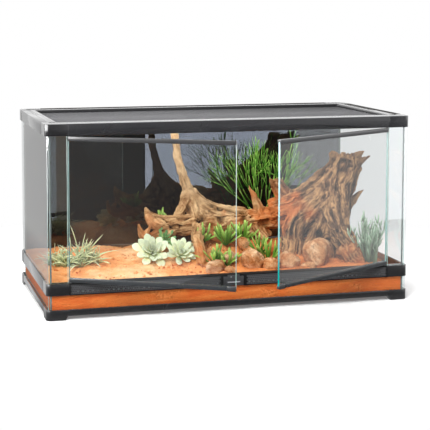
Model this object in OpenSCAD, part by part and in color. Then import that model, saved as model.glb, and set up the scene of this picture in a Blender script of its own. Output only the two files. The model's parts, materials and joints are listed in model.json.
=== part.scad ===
// Glass reptile terrarium: framed glass tank with a vented front band, two hinged glass doors,
// a sliding door lock and a lift-out screen cover, furnished with sand, driftwood, rocks and plants.
// Units: millimetres. Origin: centre of the tank's footprint, on the surface that it stands on.
// +X is to the right, +Y to the back, +Z up. The two doors are stored ajar.

/* [Tank] */
// Outer width of the frames
tank_w = 900; // [900:10:1200]
// Outer depth of the frames
tank_d = 450; // [450:10:600]
// Overall height
tank_h = 457; // [457:1:600]
// Radius of the frames' outer corners
corner_r = 14; // [10:1:15]
// Length of a corner cap along each side
corner_len = 54; // [54:1:60]
// Width of the joint line between a corner cap and a rail
seam = 0.3; // [0.1:0.1:0.6]

/* [Frames] */
// Height of the top frame
top_h = 28; // [28:1:36]
// Width of the top frame's rim, seen from above
rim_w = 16; // [16:1:20]
// Width of the ledge under the screen cover
ledge_w = 12; // [8:1:14]
// Lower edge of the middle band
band_z = 58; // [50:1:70]
// Height of the middle band
band_h = 28; // [28:1:34]
// Depth of the vented band at the front
vent_depth = 22; // [20:1:26]
// Wall thickness of the vented band
vent_wall = 3; // [2:0.5:3]
// Height of the base frame, feet included
base_h = 25; // [22:1:30]
// Height of the base rails above the surface
base_lift = 10; // [6:1:12]
// Length of a foot along each side
foot_len = 50; // [40:1:54]

/* [Glass] */
// Depth from the frames' outer face to the panes
glass_inset = 5; // [5:0.5:6]
// Thickness of the fixed panes and the doors
glass_t = 5; // [4:0.5:5]
// Thickness of the floor pane
floor_t = 6; // [5:1:8]

/* [Doors] */
// Distance from the tank's side to the hinge axis
hinge_inset = 58; // [58:1:62]
// Angle that the left door is stored open
left_ajar = 28.4; // [0:0.1:60]
// Angle that the right door is stored open
right_ajar = 29; // [0:0.1:60]
// Height of a door rail
rail_h = 10; // [8:1:14]
// Thickness of a door rail
rail_t = 9; // [8:0.5:10]
// Radius of a hinge pin
pin_r = 2; // [1.5:0.1:2.5]
// Radial clearance of a hinge pin in its bore
pin_clear = 0.05; // [0.02:0.01:0.1]
// Length of the catch at a door's free corner
catch_len = 20; // [16:1:30]

/* [Door lock] */
// Width of the lock plate
lock_w = 50; // [40:1:60]
// Upward travel of the lock plate
lock_travel = 4; // [3:0.5:4]

/* [Screen cover] */
// Width of the cover's side bars
cover_side_w = 18; // [18:1:26]
// Width of the cover's front and back bars
cover_front_w = 32; // [24:1:40]
// Thickness of the cover's bars
cover_t = 12; // [12:1:12]
// Openings of the mesh grid along X
mesh_cols = 12; // [6:1:12]
// Openings of the mesh grid along Y
mesh_rows = 6; // [3:1:8]
// Width of a bar of the mesh grid
mesh_bar = 3; // [1:0.5:4]
// Clearance between the cover and the rim
cover_gap = 1; // [0.5:0.1:1.5]
// Travel of a cover lock
cover_lock_travel = 4; // [3:0.5:4]

/* [Contents] */
// Mean depth of the sand, measured from the surface that the tank stands on
sand_level = 83; // [70:1:88]
// Height of the heap under the driftwood
heap_h = 44; // [20:1:60]
// Blades in the grassy tuft
tuft_blades = 34; // [20:1:60]
// Shoots in the twiggy bush
bush_shoots = 38; // [20:1:60]
// Shoots in the chalk-stick plant
chalk_shoots = 34; // [20:1:60]

/* [Hidden] */

frame_black = "#2b2b2d";
glass_clear = [0.80, 0.90, 0.88, 0.30];
big = 2000;                                   // larger than the tank, for cutting
eps = 0.01;
half_w = tank_w / 2;
half_d = tank_d / 2;

// Levels of the frames
top_z = tank_h - top_h;                       // underside of the top frame
web_t = 4;                                    // thickness of the top frame's upper web
web_z = tank_h - web_t;
ledge_z = 441;                                // underside of the cover's ledge
ledge_t = 3;
band_top = band_z + band_h;
band_clear = 0.3;                             // gap between the front band and what lies behind it
base_ledge_t = 4;                             // flange of the base rail that carries the panes
base_ledge_w = 20;
pane_z = base_lift + base_ledge_t;            // where the panes stand
floor_z = pane_z + floor_t;                   // upper face of the floor pane
pane_in = glass_inset + glass_t;              // inner face of the panes, from the outside
inner_wall = pane_in + 0.2;                   // the rim's inner wall clears the pane
strip_edge = hinge_inset - 5.5;               // free edge of a fixed front strip, from the side

// Doors
hinge_x = half_w - hinge_inset;
hinge_y = -half_d + glass_inset + 1.5;        // the doors hang just behind the frames' front face
meeting_gap = 1;                              // half of the gap between the closed doors
door_len = hinge_x - meeting_gap;
door_glass_back = 3.5;                        // the pane reaches this far past the hinge axis
door_z0 = 88;
door_z1 = top_z - 1.5;
groove = 5;                                   // depth of the pane in a door rail
groove_t = glass_t + 0.1;
pin_bore_h = 8;                               // depth of the bore in the top frame
pin_reach = 7;                                // how far the top pin enters it
pin_rest = 1;                                 // web left between a pin and the pane
catch_drop = 1.2;                             // the catch reaches below the rail

// Door lock
lock_pad = 7;                                 // width of the guide block beside the lock plate
lock_block_back = -half_d + 6;
lock_recess = 2.7;
lock_gap = 0.3;
lock_stem_w = 8;
lock_stem_z = 69;
lock_stem_h = 5;
sill_top = 66;

// Screen cover
cover_z = ledge_z + ledge_t + 0.3;
cover_hw = half_w - rim_w - cover_gap;
cover_hd = half_d - rim_w - cover_gap;
mesh_z = 448;
mesh_t = 0.8;
cover_lock_y = -178;
tongue_z = 446.5;
tongue_h = 3;
tongue_w = 24;
button_w = 12;

// ---------------------------------------------------------------- frames

// Outline of the tank seen from above, with true round corners
module outline() {
    square([tank_w - 2 * corner_r, tank_d], center = true);
    square([tank_w, tank_d - 2 * corner_r], center = true);
    for (sx = [-1, 1], sy = [-1, 1])
        translate([sx * (half_w - corner_r), sy * (half_d - corner_r)]) circle(r = corner_r, $fn = 64);
}

// Plain rectangle that lies a distance inside the outline
module inside(inset) {
    square([tank_w - 2 * inset, tank_d - 2 * inset], center = true);
}

// Ring from the outline, or from an inset, to a further inset
module outer_ring(z0, z1, inset) {
    translate([0, 0, z0]) linear_extrude(z1 - z0) difference() { outline(); inside(inset); }
}

module inner_ring(z0, z1, inset0, inset1) {
    translate([0, 0, z0]) linear_extrude(z1 - z0) difference() { inside(inset0); inside(inset1); }
}

// Everything at one corner: sx and sy are -1 or 1
module corner_zone(sx, sy, len) {
    translate([sx * (half_w - len + big / 2), sy * (half_d - len + big / 2), 0])
        cube([big, big, big], center = true);
}

// Everything along one side between the corners
module rail_zone(side, len) {
    long = (side == "front" || side == "back") ? tank_w : tank_d;
    run = long - 2 * (len + seam);
    if (side == "front") translate([-run / 2, -big, -big / 2]) cube([run, big, big]);
    if (side == "back") translate([-run / 2, 0, -big / 2]) cube([run, big, big]);
    if (side == "left") translate([-big, -run / 2, -big / 2]) cube([big, run, big]);
    if (side == "right") translate([0, -run / 2, -big / 2]) cube([big, run, big]);
}

module top_ring() {
    difference() {
        union() {
            outer_ring(top_z, tank_h, glass_inset);
            outer_ring(web_z, tank_h, rim_w);
            inner_ring(ledge_z, tank_h, inner_wall, rim_w);
            inner_ring(ledge_z, ledge_z + ledge_t, inner_wall, rim_w + ledge_w);
        }
        for (s = [-1, 1]) cover_lock_pocket(s);
    }
}

// Pocket in the rim that takes the tongue of a cover lock
module cover_lock_pocket(s) {
    pocket_w = tongue_w + 2;
    pocket_d = cover_lock_travel + 0.6;
    x0 = half_w - rim_w - 0.1;
    translate([s * (x0 + pocket_d / 2), cover_lock_y, tongue_z + tongue_h / 2])
        cube([pocket_d, pocket_w, tongue_h + 1], center = true);
}

module top_corner(sx, sy) {
    color(frame_black) intersection() { top_ring(); corner_zone(sx, sy, corner_len); }
}

module top_rail(side) {
    color(frame_black) intersection() { top_ring(); rail_zone(side, corner_len); }
}

// The front rail is closed underneath and carries the doors' upper pins
module top_rail_front() {
    run = tank_w - 2 * (corner_len + seam);
    color(frame_black) difference() {
        union() {
            intersection() { top_ring(); rail_zone("front", corner_len); }
            translate([-run / 2, -half_d, top_z]) cube([run, rim_w, pin_bore_h + 2]);
        }
        for (s = [-1, 1]) translate([s * hinge_x, hinge_y, top_z - eps])
            cylinder(r = pin_r + pin_clear, h = pin_bore_h + eps, $fn = 48);
    }
}

module band_corner(sx, sy) {
    color(frame_black) intersection() {
        union() {
            outer_ring(band_z, band_top, glass_inset);
            if (sy < 0) band_lip(sx);
        }
        corner_zone(sx, sy, corner_len);
    }
}

// Inner lip of a front corner cap, behind the fixed strip
module band_lip(sx) {
    lip_w = corner_len - pane_in;
    bridge_w = corner_len - strip_edge - 0.2;
    translate([sx * (half_w - pane_in - lip_w / 2), -half_d + (pane_in + vent_depth) / 2, (band_z + band_top) / 2])
        cube([lip_w, vent_depth - pane_in, band_h], center = true);
    translate([sx * (half_w - corner_len + bridge_w / 2), -half_d + pane_in, (sill_top + 0.2 + band_top) / 2])
        cube([bridge_w, 2 * pane_in - 2, band_top - sill_top - 0.2], center = true);
}

module band_rail(side) {
    color(frame_black) intersection() {
        outer_ring(band_z, band_top, glass_inset);
        rail_zone(side, corner_len);
    }
}

// Hollow band with a row of air slots, the lower pin bores and the guide of the door lock
module band_vent_front() {
    run = tank_w - 2 * (corner_len + seam);
    web = 5;
    slot_w = 4;
    slot_pitch = 12;
    slots = floor((run / 2 - lock_w / 2 - lock_pad - 8) / slot_pitch);
    block_w = lock_w + 2 * lock_pad;
    color(frame_black) difference() {
        union() {
            difference() {
                translate([-run / 2, -half_d, band_z]) cube([run, vent_depth, band_h]);
                translate([-run, -half_d + vent_wall, band_z - eps])
                    cube([2 * run, vent_depth - 2 * vent_wall, band_h - web + eps]);
            }
            translate([-block_w / 2, -half_d, sill_top + 1])
                cube([block_w, lock_block_back + half_d, band_top - sill_top - 1]);
        }
        for (s = [-1, 1], i = [0 : slots - 1])
            translate([s * (block_w / 2 + 8 + i * slot_pitch), -half_d, band_z + band_h * 0.45])
                cube([slot_w, 2 * vent_wall + 1, band_h * 0.5], center = true);
        for (s = [-1, 1]) translate([s * hinge_x, hinge_y, band_top - web - eps])
            cylinder(r = pin_r + pin_clear, h = web + 2 * eps, $fn = 48);
        translate([-lock_w / 2 - lock_gap, -half_d - 1, band_z - 1])
            cube([lock_w + 2 * lock_gap, lock_recess + 1, band_h + 2]);
        translate([-lock_stem_w / 2 - lock_gap, -half_d, lock_stem_z - lock_gap])
            cube([lock_stem_w + 2 * lock_gap, vent_depth / 2, lock_stem_h + lock_travel + 2 * lock_gap]);
    }
}

// Sliding plate with a finger ridge; its tooth rises in front of both door catches
module door_lock() {
    plate_t = lock_recess - lock_gap;
    plate_h = band_h - 4.5;
    tooth_w = 30;
    ridge_w = 35;
    keeper_w = 18;
    color("#343437") {
        translate([-lock_w / 2, -half_d, band_z + 1]) cube([lock_w, plate_t, plate_h - 1]);
        translate([-tooth_w / 2, -half_d, band_z + plate_h - eps]) cube([tooth_w, 1.5, 4.5 - 0.5]);
        translate([-ridge_w / 2, -half_d - 2, 66.5]) cube([ridge_w, 2 + eps, 3.5]);
        translate([-lock_stem_w / 2, -half_d + plate_t - eps, lock_stem_z])
            cube([lock_stem_w, lock_block_back + half_d + 0.4 - plate_t, lock_stem_h]);
        translate([-keeper_w / 2, lock_block_back + lock_gap, lock_stem_z - 1])
            cube([keeper_w, 2, lock_stem_h + 2]);
    }
}

module base_ring() {
    outer_ring(base_lift, base_h, glass_inset);
    inner_ring(base_lift, base_lift + base_ledge_t, glass_inset, base_ledge_w);
}

module base_rail(side) {
    color(frame_black) intersection() { base_ring(); rail_zone(side, foot_len); }
}

// Corner of the base with a foot whose inner ends slope up to the rails
module base_foot(sx, sy) {
    slope = 5;
    leg_w = base_ledge_w;
    color(frame_black) intersection() {
        union() {
            base_ring();
            translate([sx * half_w, sy * half_d, 0]) mirror([sx > 0 ? 1 : 0, 0, 0])
                mirror([0, sy > 0 ? 1 : 0, 0]) {
                    translate([0, leg_w, 0]) rotate([90, 0, 0]) linear_extrude(leg_w)
                        foot_profile(slope);
                    rotate([90, 0, 90]) linear_extrude(leg_w) foot_profile(slope);
                }
        }
        corner_zone(sx, sy, foot_len);
        linear_extrude(tank_h) outline();
    }
}

module foot_profile(slope) {
    polygon([[0, 0], [foot_len - slope, 0], [foot_len, base_lift + eps], [0, base_lift + eps]]);
}

// ---------------------------------------------------------------- glass

module pane(x0, x1, y0, y1, z0, z1) {
    color(glass_clear) translate([x0, y0, z0]) cube([x1 - x0, y1 - y0, z1 - z0]);
}

module side_pane(s) {
    x = s * (half_w - glass_inset - glass_t / 2);
    pane(x - glass_t / 2, x + glass_t / 2, -half_d + glass_inset, half_d - glass_inset, pane_z, web_z);
}

module strip_pane(s) {
    x_out = half_w - pane_in;
    x_in = half_w - strip_edge;
    pane(min(s * x_out, s * x_in), max(s * x_out, s * x_in),
         -half_d + glass_inset, -half_d + pane_in, sill_top, web_z);
}

// Clear silicone in the four upright corners, inside; the front ones stop at the band
module silicone_seams() {
    leg = 4;
    color([0.85, 0.9, 0.9, 0.6]) difference() {
        for (sx = [-1, 1], sy = [-1, 1])
            translate([sx * (half_w - pane_in), sy * (half_d - pane_in), floor_z])
                linear_extrude(ledge_z - floor_z) polygon([[0, 0], [-sx * leg, 0], [0, -sy * leg]]);
        band_room(band_top - band_z + 2 * band_clear);
    }
}

// Space that the front band and its corner caps take inside the panes, up to a height
module band_room(height) {
    translate([-half_w, -half_d, band_z - band_clear])
        cube([tank_w, vent_depth + band_clear, height]);
}

// ---------------------------------------------------------------- doors
// A door is drawn closed, with its hinge axis on the Z axis and its free end towards +X.
// door_place() then hangs it at its side of the tank, stored ajar. The right door is a mirror image.

module door_place(side) {
    if (side == "left") translate([-hinge_x, hinge_y, 0]) rotate([0, 0, -left_ajar]) children();
    else translate([hinge_x, hinge_y, 0]) rotate([0, 0, right_ajar]) mirror([1, 0, 0]) children();
}

module door_glass(side) {
    color(glass_clear) door_place(side)
        translate([-door_glass_back, -glass_t / 2, door_z0 + groove])
            cube([door_len + door_glass_back, glass_t, door_z1 - door_z0 - 2 * groove]);
}

// Rail with a round knuckle about the hinge axis
module door_rail_blank(z0, len) {
    translate([0, 0, z0]) {
        cylinder(d = rail_t, h = rail_h, $fn = 48);
        translate([0, -rail_t / 2, 0]) cube([len, rail_t, rail_h]);
    }
}

module door_groove(z0) {
    translate([-rail_t, -groove_t / 2, z0]) cube([door_len + 2 * rail_t, groove_t, groove]);
}

module door_top_rail(side) {
    color(frame_black) door_place(side) difference() {
        door_rail_blank(door_z1 - rail_h, door_len);
        door_groove(door_z1 - rail_h);
        translate([0, 0, door_z1 - groove + pin_rest - eps])
            cylinder(r = pin_r + pin_clear, h = groove, $fn = 48);
    }
}

module door_bottom_rail(side) {
    color(frame_black) door_place(side) difference() {
        door_rail_blank(door_z0, door_len - catch_len - seam);
        door_groove(door_z0 + groove);
        translate([0, 0, door_z0 - pin_rest + eps])
            cylinder(r = pin_r + pin_clear, h = groove, $fn = 48);
    }
}

// The two pins of a door, on one axis
module door_hinge_pins(side) {
    low_end = band_top - pin_reach - 2;
    color("#9a9a98") door_place(side) {
        translate([0, 0, door_z1 - groove + pin_rest + 0.1])
            cylinder(r = pin_r, h = groove - pin_rest - 0.1 + 1.5 + pin_reach, $fn = 48);
        translate([0, 0, low_end]) cylinder(r = pin_r, h = door_z0 + groove - pin_rest - 0.1 - low_end, $fn = 48);
    }
}

module door_catch(side) {
    color("#3a3a3d") door_place(side) difference() {
        translate([door_len - catch_len, -rail_t / 2, door_z0 - catch_drop])
            cube([catch_len, rail_t, rail_h + catch_drop]);
        door_groove(door_z0 + groove);
    }
}

// ---------------------------------------------------------------- screen cover

module cover_frame() {
    inner_w = cover_hw - cover_side_w;
    inner_d = cover_hd - cover_front_w;
    color(frame_black) difference() {
        translate([0, 0, cover_z]) linear_extrude(cover_t) difference() {
            square([2 * cover_hw, 2 * cover_hd], center = true);
            square([2 * inner_w, 2 * inner_d], center = true);
        }
        for (s = [-1, 1]) {
            translate([s * (inner_w + 2.6 + cover_side_w / 2), cover_lock_y, tongue_z + tongue_h / 2])
                cube([cover_side_w, tongue_w + 0.8, tongue_h + 0.6], center = true);
            translate([s * (inner_w + 2.6 + 7.5), cover_lock_y, cover_z + cover_t])
                cube([15, button_w + 0.8, 2 * (cover_z + cover_t - tongue_z - tongue_h)], center = true);
        }
    }
}

// Flat grid across the opening of the cover's frame
module cover_mesh() {
    size = 2 * [cover_hw - cover_side_w, cover_hd - cover_front_w];
    pitch = [(size[0] - mesh_bar) / mesh_cols, (size[1] - mesh_bar) / mesh_rows];
    color("#6c6c6e") translate([0, 0, mesh_z]) linear_extrude(mesh_t) difference() {
        square(size, center = true);
        for (i = [0 : mesh_cols - 1], j = [0 : mesh_rows - 1])
            translate([(i + 0.5) * pitch[0], (j + 0.5) * pitch[1]] - (size - [mesh_bar, mesh_bar]) / 2)
                square(pitch - [mesh_bar, mesh_bar], center = true);
    }
}

// Button with a tongue below it; shown drawn back
module cover_lock(s) {
    inner_w = cover_hw - cover_side_w;
    tongue_len = cover_side_w - 3.5;
    button_len = 10;
    button_h = cover_z + cover_t - tongue_z - tongue_h - 0.3;
    color("#3a3a3d") {
        translate([s * (inner_w + 3 + tongue_len / 2), cover_lock_y, tongue_z + tongue_h / 2])
            cube([tongue_len, tongue_w, tongue_h], center = true);
        translate([s * (inner_w + 3 + button_len / 2), cover_lock_y, tongue_z + tongue_h + button_h / 2 - eps])
            cube([button_len, button_w, button_h + 2 * eps], center = true);
    }
}

// ---------------------------------------------------------------- contents

// Smooth round heap of height h at c, with half-widths s
function heap(x, y, c, h, s) = h * exp(-pow((x - c[0]) / s[0], 2) - pow((y - c[1]) / s[1], 2));

// Height of the sand's surface
function sand_z(x, y) =
    sand_level + 1.6 * sin(x * 1.9 + 40) * cos(y * 2.3) + 1.1 * sin(x * 4.1 + y * 3.3)
    + heap(x, y, [55, 15], heap_h, [120, 90]) + heap(x, y, [250, -20], 24, [120, 110])
    + heap(x, y, [-350, 150], 10, [90, 80]) + heap(x, y, [-120, 30], 10, [70, 70])
    - heap(x, y, [440, -120], 16, [60, 160]);

// Pebbles that lie half sunk round a point
module pebbles(centre, spread, n, seed) {
    turn = rands(0, 360, n, seed);
    out = rands(0.3, 1, n, seed + 1);
    size = rands(3, 6, n, seed + 2);
    for (i = [0 : n - 1])
        let (x = centre[0] + spread[0] * out[i] * cos(turn[i]), y = centre[1] + spread[1] * out[i] * sin(turn[i]))
            rock([x, y, sand_z(x, y) + size[i] * 0.3], [size[i], size[i] * 0.8, size[i] * 0.7], seed + i, 8);
}

module sand_bed() {
    color("#d98a4e") {
        difference() {
            sand_body();
            band_room(heap_h + band_h);
        }
        pebbles([-300, 60], [60, 45], 9, 5);
    }
}

// Sand from the floor pane up to its surface
module sand_body() {
    nx = 30;
    ny = 16;
    hw = half_w - pane_in - 0.2;
    hd = half_d - pane_in - 0.2;
    row = ny + 1;
    top = [for (i = [0 : nx], j = [0 : ny])
        let (x = -hw + 2 * hw * i / nx, y = -hd + 2 * hd * j / ny) [x, y, sand_z(x, y)]];
    base = [for (p = top) [p[0], p[1], floor_z]];
    count = len(top);
    polyhedron(
        points = concat(top, base),
        faces = concat(
            [for (i = [0 : nx - 1], j = [0 : ny - 1]) let (a = i * row + j) [a, a + 1, a + row]],
            [for (i = [0 : nx - 1], j = [0 : ny - 1]) let (a = i * row + j) [a + 1, a + row + 1, a + row]],
            [for (i = [0 : nx - 1]) let (a = i * row) [a, a + row, count + a + row, count + a]],
            [for (i = [0 : nx - 1]) let (a = i * row + ny) [a + row, a, count + a, count + a + row]],
            [for (j = [0 : ny - 1]) let (a = j) [a + 1, a, count + a, count + a + 1]],
            [for (j = [0 : ny - 1]) let (a = nx * row + j) [a, a + 1, count + a + 1, count + a]],
            [concat([for (i = [0 : nx]) count + i * row],
                    [for (j = [1 : ny]) count + nx * row + j],
                    [for (i = [1 : nx]) count + (nx - i) * row + ny],
                    [for (j = [1 : ny - 1]) count + ny - j])]
        ));
}

// Tapering limb through a few points; each point is [x, y, z, radius]
module limb(stations, facets = 10) {
    for (i = [0 : len(stations) - 2]) hull() {
        limb_ball(stations[i], facets);
        limb_ball(stations[i + 1], facets);
    }
}

module limb_ball(s, facets) {
    translate([s[0], s[1], s[2]]) sphere(r = s[3], $fn = facets);
}

// Leaning stump with three roots, a shoulder that runs down to the branch, a jagged top and two spurs
module driftwood_stump() {
    color("#8a6a4a") {
        limb([[345, -165, 78, 22], [325, -138, 123, 28], [312, -110, 157, 32], [312, -78, 195, 40],
              [326, -45, 255, 46], [344, -42, 300, 42], [352, -40, 336, 31]]);
        limb([[192, -75, 86, 26], [203, -65, 120, 29], [212, -58, 160, 32], [250, -48, 200, 38],
              [305, -45, 240, 42]]);
        limb([[280, -112, 80, 26], [282, -88, 130, 32], [300, -62, 190, 38]]);
        limb([[165, 0, 200, 24], [205, -15, 212, 30], [245, -28, 232, 32], [290, -32, 262, 32],
              [335, -36, 300, 30]]);
        limb([[340, -38, 318, 28], [326, -34, 338, 15], [317, -33, 348, 7]]);
        limb([[354, -42, 322, 26], [380, -48, 338, 12], [403, -52, 352, 3]]);
        limb([[360, -45, 306, 24], [392, -50, 326, 10], [416, -54, 337, 3]]);
        limb([[350, -42, 205, 16], [375, -42, 225, 10], [407, -42, 249, 3]]);
        limb([[215, -5, 222, 26], [190, 0, 255, 20], [180, 0, 272, 16]]);
    }
}

// Fallen branch with prongs at its left end, an upright trunk and a prop root
module driftwood_branch() {
    color("#a47c52") {
        limb([[-158, 20, 212, 7], [-146, 20, 190, 12], [-110, 22, 168, 20], [-30, 32, 172, 28],
              [60, 28, 170, 26], [140, 26, 176, 27], [205, 12, 182, 30]]);
        limb([[-184, 8, 180, 6], [-172, 6, 150, 10], [-135, 10, 142, 16], [-90, 18, 158, 20]]);
        limb([[-38, 45, 190, 34], [-46, 58, 235, 22], [-55, 68, 300, 17], [-62, 74, 360, 14],
              [-66, 76, 424, 13]]);
        limb([[-44, 58, 240, 20], [10, 40, 212, 17], [70, 26, 196, 18], [104, 22, 190, 10]]);
        limb([[-50, -60, 160, 18], [-58, -110, 118, 14], [-60, -122, 74, 15]]);
        limb([[-20, 10, 165, 20], [-50, -60, 160, 18]]);
        limb([[137, 20, 200, 12], [128, 20, 226, 8], [116, 20, 258, 3]]);
        limb([[120, 30, 176, 22], [150, 20, 120, 26]]);
    }
}

// Angular stone: the hull of points spread evenly over an ellipsoid, each pushed in a little
module rock(centre, size, seed, n = 26) {
    push = rands(0.84, 1.0, n, seed);
    golden = 137.5;
    translate(centre) rotate([0, 0, seed * 37]) hull() for (i = [0 : n - 1])
        let (h = 1 - 2 * (i + 0.5) / n, r = sqrt(1 - h * h), a = i * golden)
            translate([size[0] * r * cos(a) * push[i], size[1] * r * sin(a) * push[i], size[2] * h * push[i]])
                cube(0.5, center = true);
}

module rocks() {
    color("#c79a72") {
        rock([-30, -170, 92], [31, 20, 21], 1);
        rock([72, -146, 104], [38, 30, 33], 2);
        rock([110, -176, 93], [24, 16, 20], 15);
        rock([162, -168, 99], [31, 22, 27], 4);
        rock([238, -156, 109], [39, 30, 42], 5);
        rock([22, -112, 104], [24, 20, 18], 6);
        rock([72, -62, 128], [22, 18, 17], 7);
        rock([4, -180, 84], [22, 14, 13], 8);
        rock([205, -182, 86], [20, 12, 12], 9);
        rock([62, 0, 132], [30, 24, 20], 10);
    }
}

// Pointed leaf that lies along +X, broadest two thirds of the way out
module leaf(len, width, thick) {
    hull() {
        translate([2, 0, 0]) cube([2, width * 0.35, thick], center = true);
        translate([len * 0.66, 0, 0]) cube([2, width, thick], center = true);
        translate([len - 1, 0, thick * 0.3]) cube([1, 1.5, thick * 0.4], center = true);
    }
}

// Rosette: rings of leaves that stand up more towards the middle
module rosette(centre, r, lean) {
    rings = [[0, 8, 1.0, 13], [23, 6, 0.81, 37], [8, 4, 0.57, 61]];
    translate(centre) rotate(lean) {
        for (ring = rings, i = [0 : ring[1] - 1])
            rotate([0, 0, ring[0] + i * 360 / ring[1]]) rotate([0, -ring[3], 0])
                leaf(r * ring[2], r * 0.48, r * 0.12);
        sphere(r = r * 0.2, $fn = 10);
    }
}

module rosette_succulents() {
    color("#b9cfae") {
        rosette([-154, -28, 100], 36, [38, -8, 0]);
        rosette([-88, -42, 99], 36, [40, 4, 0]);
        rosette([-100, 14, 116], 24, [25, 0, 0]);
    }
}

// Blade or shoot that leans out from its foot in one bend
module shoot(foot, len, turn, lean, w0, w1) {
    knee = 0.55;
    rise = [cos(turn) * sin(lean * 0.5), sin(turn) * sin(lean * 0.5), cos(lean * 0.5)] * len * knee;
    reach = [cos(turn) * sin(lean), sin(turn) * sin(lean), cos(lean)] * len * (1 - knee);
    hull() {
        translate(foot) cube(w0, center = true);
        translate(foot + rise) cube((w0 + w1) / 2, center = true);
    }
    hull() {
        translate(foot + rise) cube((w0 + w1) / 2, center = true);
        translate(foot + rise + reach) cube(w1, center = true);
    }
}

// Tuft of n shoots with random turns, leans and lengths from a repeatable seed
module tuft(foot, spread, n, lengths, leans, w0, w1, seed) {
    turn = rands(0, 360, n, seed);
    lean = rands(leans[0], leans[1], n, seed + 1);
    size = rands(lengths[0], lengths[1], n, seed + 2);
    off = rands(0, 1, n, seed + 3);
    for (i = [0 : n - 1])
        shoot(foot + [cos(turn[i]) * spread[0], sin(turn[i]) * spread[1], 0] * off[i],
              size[i], turn[i], lean[i], w0, w1);
}

module grass_tuft() {
    color("#a9b384") {
        tuft([-345, 10, sand_level - 2], [34, 26, 0], tuft_blades, [45, 80], [25, 70], 5, 1.2, 11);
        shoot([-345, 20, sand_level - 2], 100, 100, 6, 7, 1.5);
    }
}

module twig_bush() {
    color("#4f8a2c") {
        tuft([180, 64, 120], [22, 20, 0], bush_shoots, [190, 285], [8, 40], 6, 2, 21);
        translate([180, 64, 90]) cylinder(r1 = 22, r2 = 28, h = 40, $fn = 12);
    }
}

module finger_succulents() {
    color("#5f9a3a") {
        tuft([5, -104, 84], [12, 10, 0], 10, [44, 72], [10, 50], 8, 5, 31);
        tuft([20, -36, 124], [16, 12, 0], 8, [40, 62], [10, 50], 8, 5, 41);
        tuft([62, -24, 132], [14, 10, 0], 8, [40, 62], [10, 50], 8, 5, 51);
        tuft([104, -62, 112], [12, 10, 0], 9, [44, 70], [15, 55], 8, 5, 61);
        tuft([152, -74, 106], [10, 8, 0], 8, [34, 52], [10, 45], 8, 5, 71);
        tuft([-112, 62, 92], [10, 8, 0], 8, [70, 100], [6, 30], 7, 3, 81);
    }
}

module chalk_stick_plant() {
    color("#8fa894") tuft([386, -128, 70], [22, 30, 0], chalk_shoots, [80, 128], [6, 26], 6, 3, 91);
}

// ---------------------------------------------------------------- nodes

base_rail("front");  // base_rail_front
base_rail("back");  // base_rail_back
base_rail("left");  // base_rail_left
base_rail("right");  // base_rail_right
base_foot(-1, -1);  // base_foot_front_left
base_foot(1, -1);  // base_foot_front_right
base_foot(-1, 1);  // base_foot_back_left
base_foot(1, 1);  // base_foot_back_right
band_vent_front();
band_rail("back");  // band_rail_back
band_rail("left");  // band_rail_left
band_rail("right");  // band_rail_right
band_corner(-1, -1);  // band_corner_front_left
band_corner(1, -1);  // band_corner_front_right
band_corner(-1, 1);  // band_corner_back_left
band_corner(1, 1);  // band_corner_back_right
top_rail_front();
top_rail("back");  // top_rail_back
top_rail("left");  // top_rail_left
top_rail("right");  // top_rail_right
top_corner(-1, -1);  // top_corner_front_left
top_corner(1, -1);  // top_corner_front_right
top_corner(-1, 1);  // top_corner_back_left
top_corner(1, 1);  // top_corner_back_right
side_pane(-1);  // glass_left
side_pane(1);  // glass_right
pane(-half_w + pane_in, half_w - pane_in, half_d - pane_in, half_d - glass_inset, pane_z, web_z);  // glass_back
pane(-half_w + pane_in, half_w - pane_in, -half_d + pane_in, half_d - pane_in, pane_z, floor_z);  // glass_floor
pane(-half_w + pane_in, half_w - pane_in, -half_d + glass_inset, -half_d + pane_in, pane_z, sill_top);  // glass_sill_front
strip_pane(-1);  // glass_strip_left
strip_pane(1);  // glass_strip_right
color("#18181a") translate([-half_w + pane_in, half_d - glass_inset, band_top + 0.5])  // background_film
        cube([tank_w - 2 * pane_in, 1, top_z - band_top - 1]);
silicone_seams();
door_glass("left");  // left_door_glass
door_top_rail("left");  // left_door_top_rail
door_bottom_rail("left");  // left_door_bottom_rail
door_hinge_pins("left");  // left_door_hinge_pins
door_catch("left");  // left_door_catch
door_glass("right");  // right_door_glass
door_top_rail("right");  // right_door_top_rail
door_bottom_rail("right");  // right_door_bottom_rail
door_hinge_pins("right");  // right_door_hinge_pins
door_catch("right");  // right_door_catch
door_lock();
cover_frame();
cover_mesh();
cover_lock(-1);  // cover_lock_left
cover_lock(1);  // cover_lock_right
sand_bed();
driftwood_stump();
driftwood_branch();
rocks();
rosette_succulents();
grass_tuft();
twig_bush();
finger_succulents();
chalk_stick_plant();
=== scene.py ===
"""Looks of a glass reptile terrarium: framed tank, two hinged doors, screen cover and furnished inside."""

import itertools
import json
import logging
import math
import random
from contextlib import contextmanager
from dataclasses import dataclass
from enum import Enum
from typing import Callable, Iterable, Iterator, Optional, Sequence, Union

import bpy
import numpy as np
from mathutils import Matrix, Vector


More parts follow.
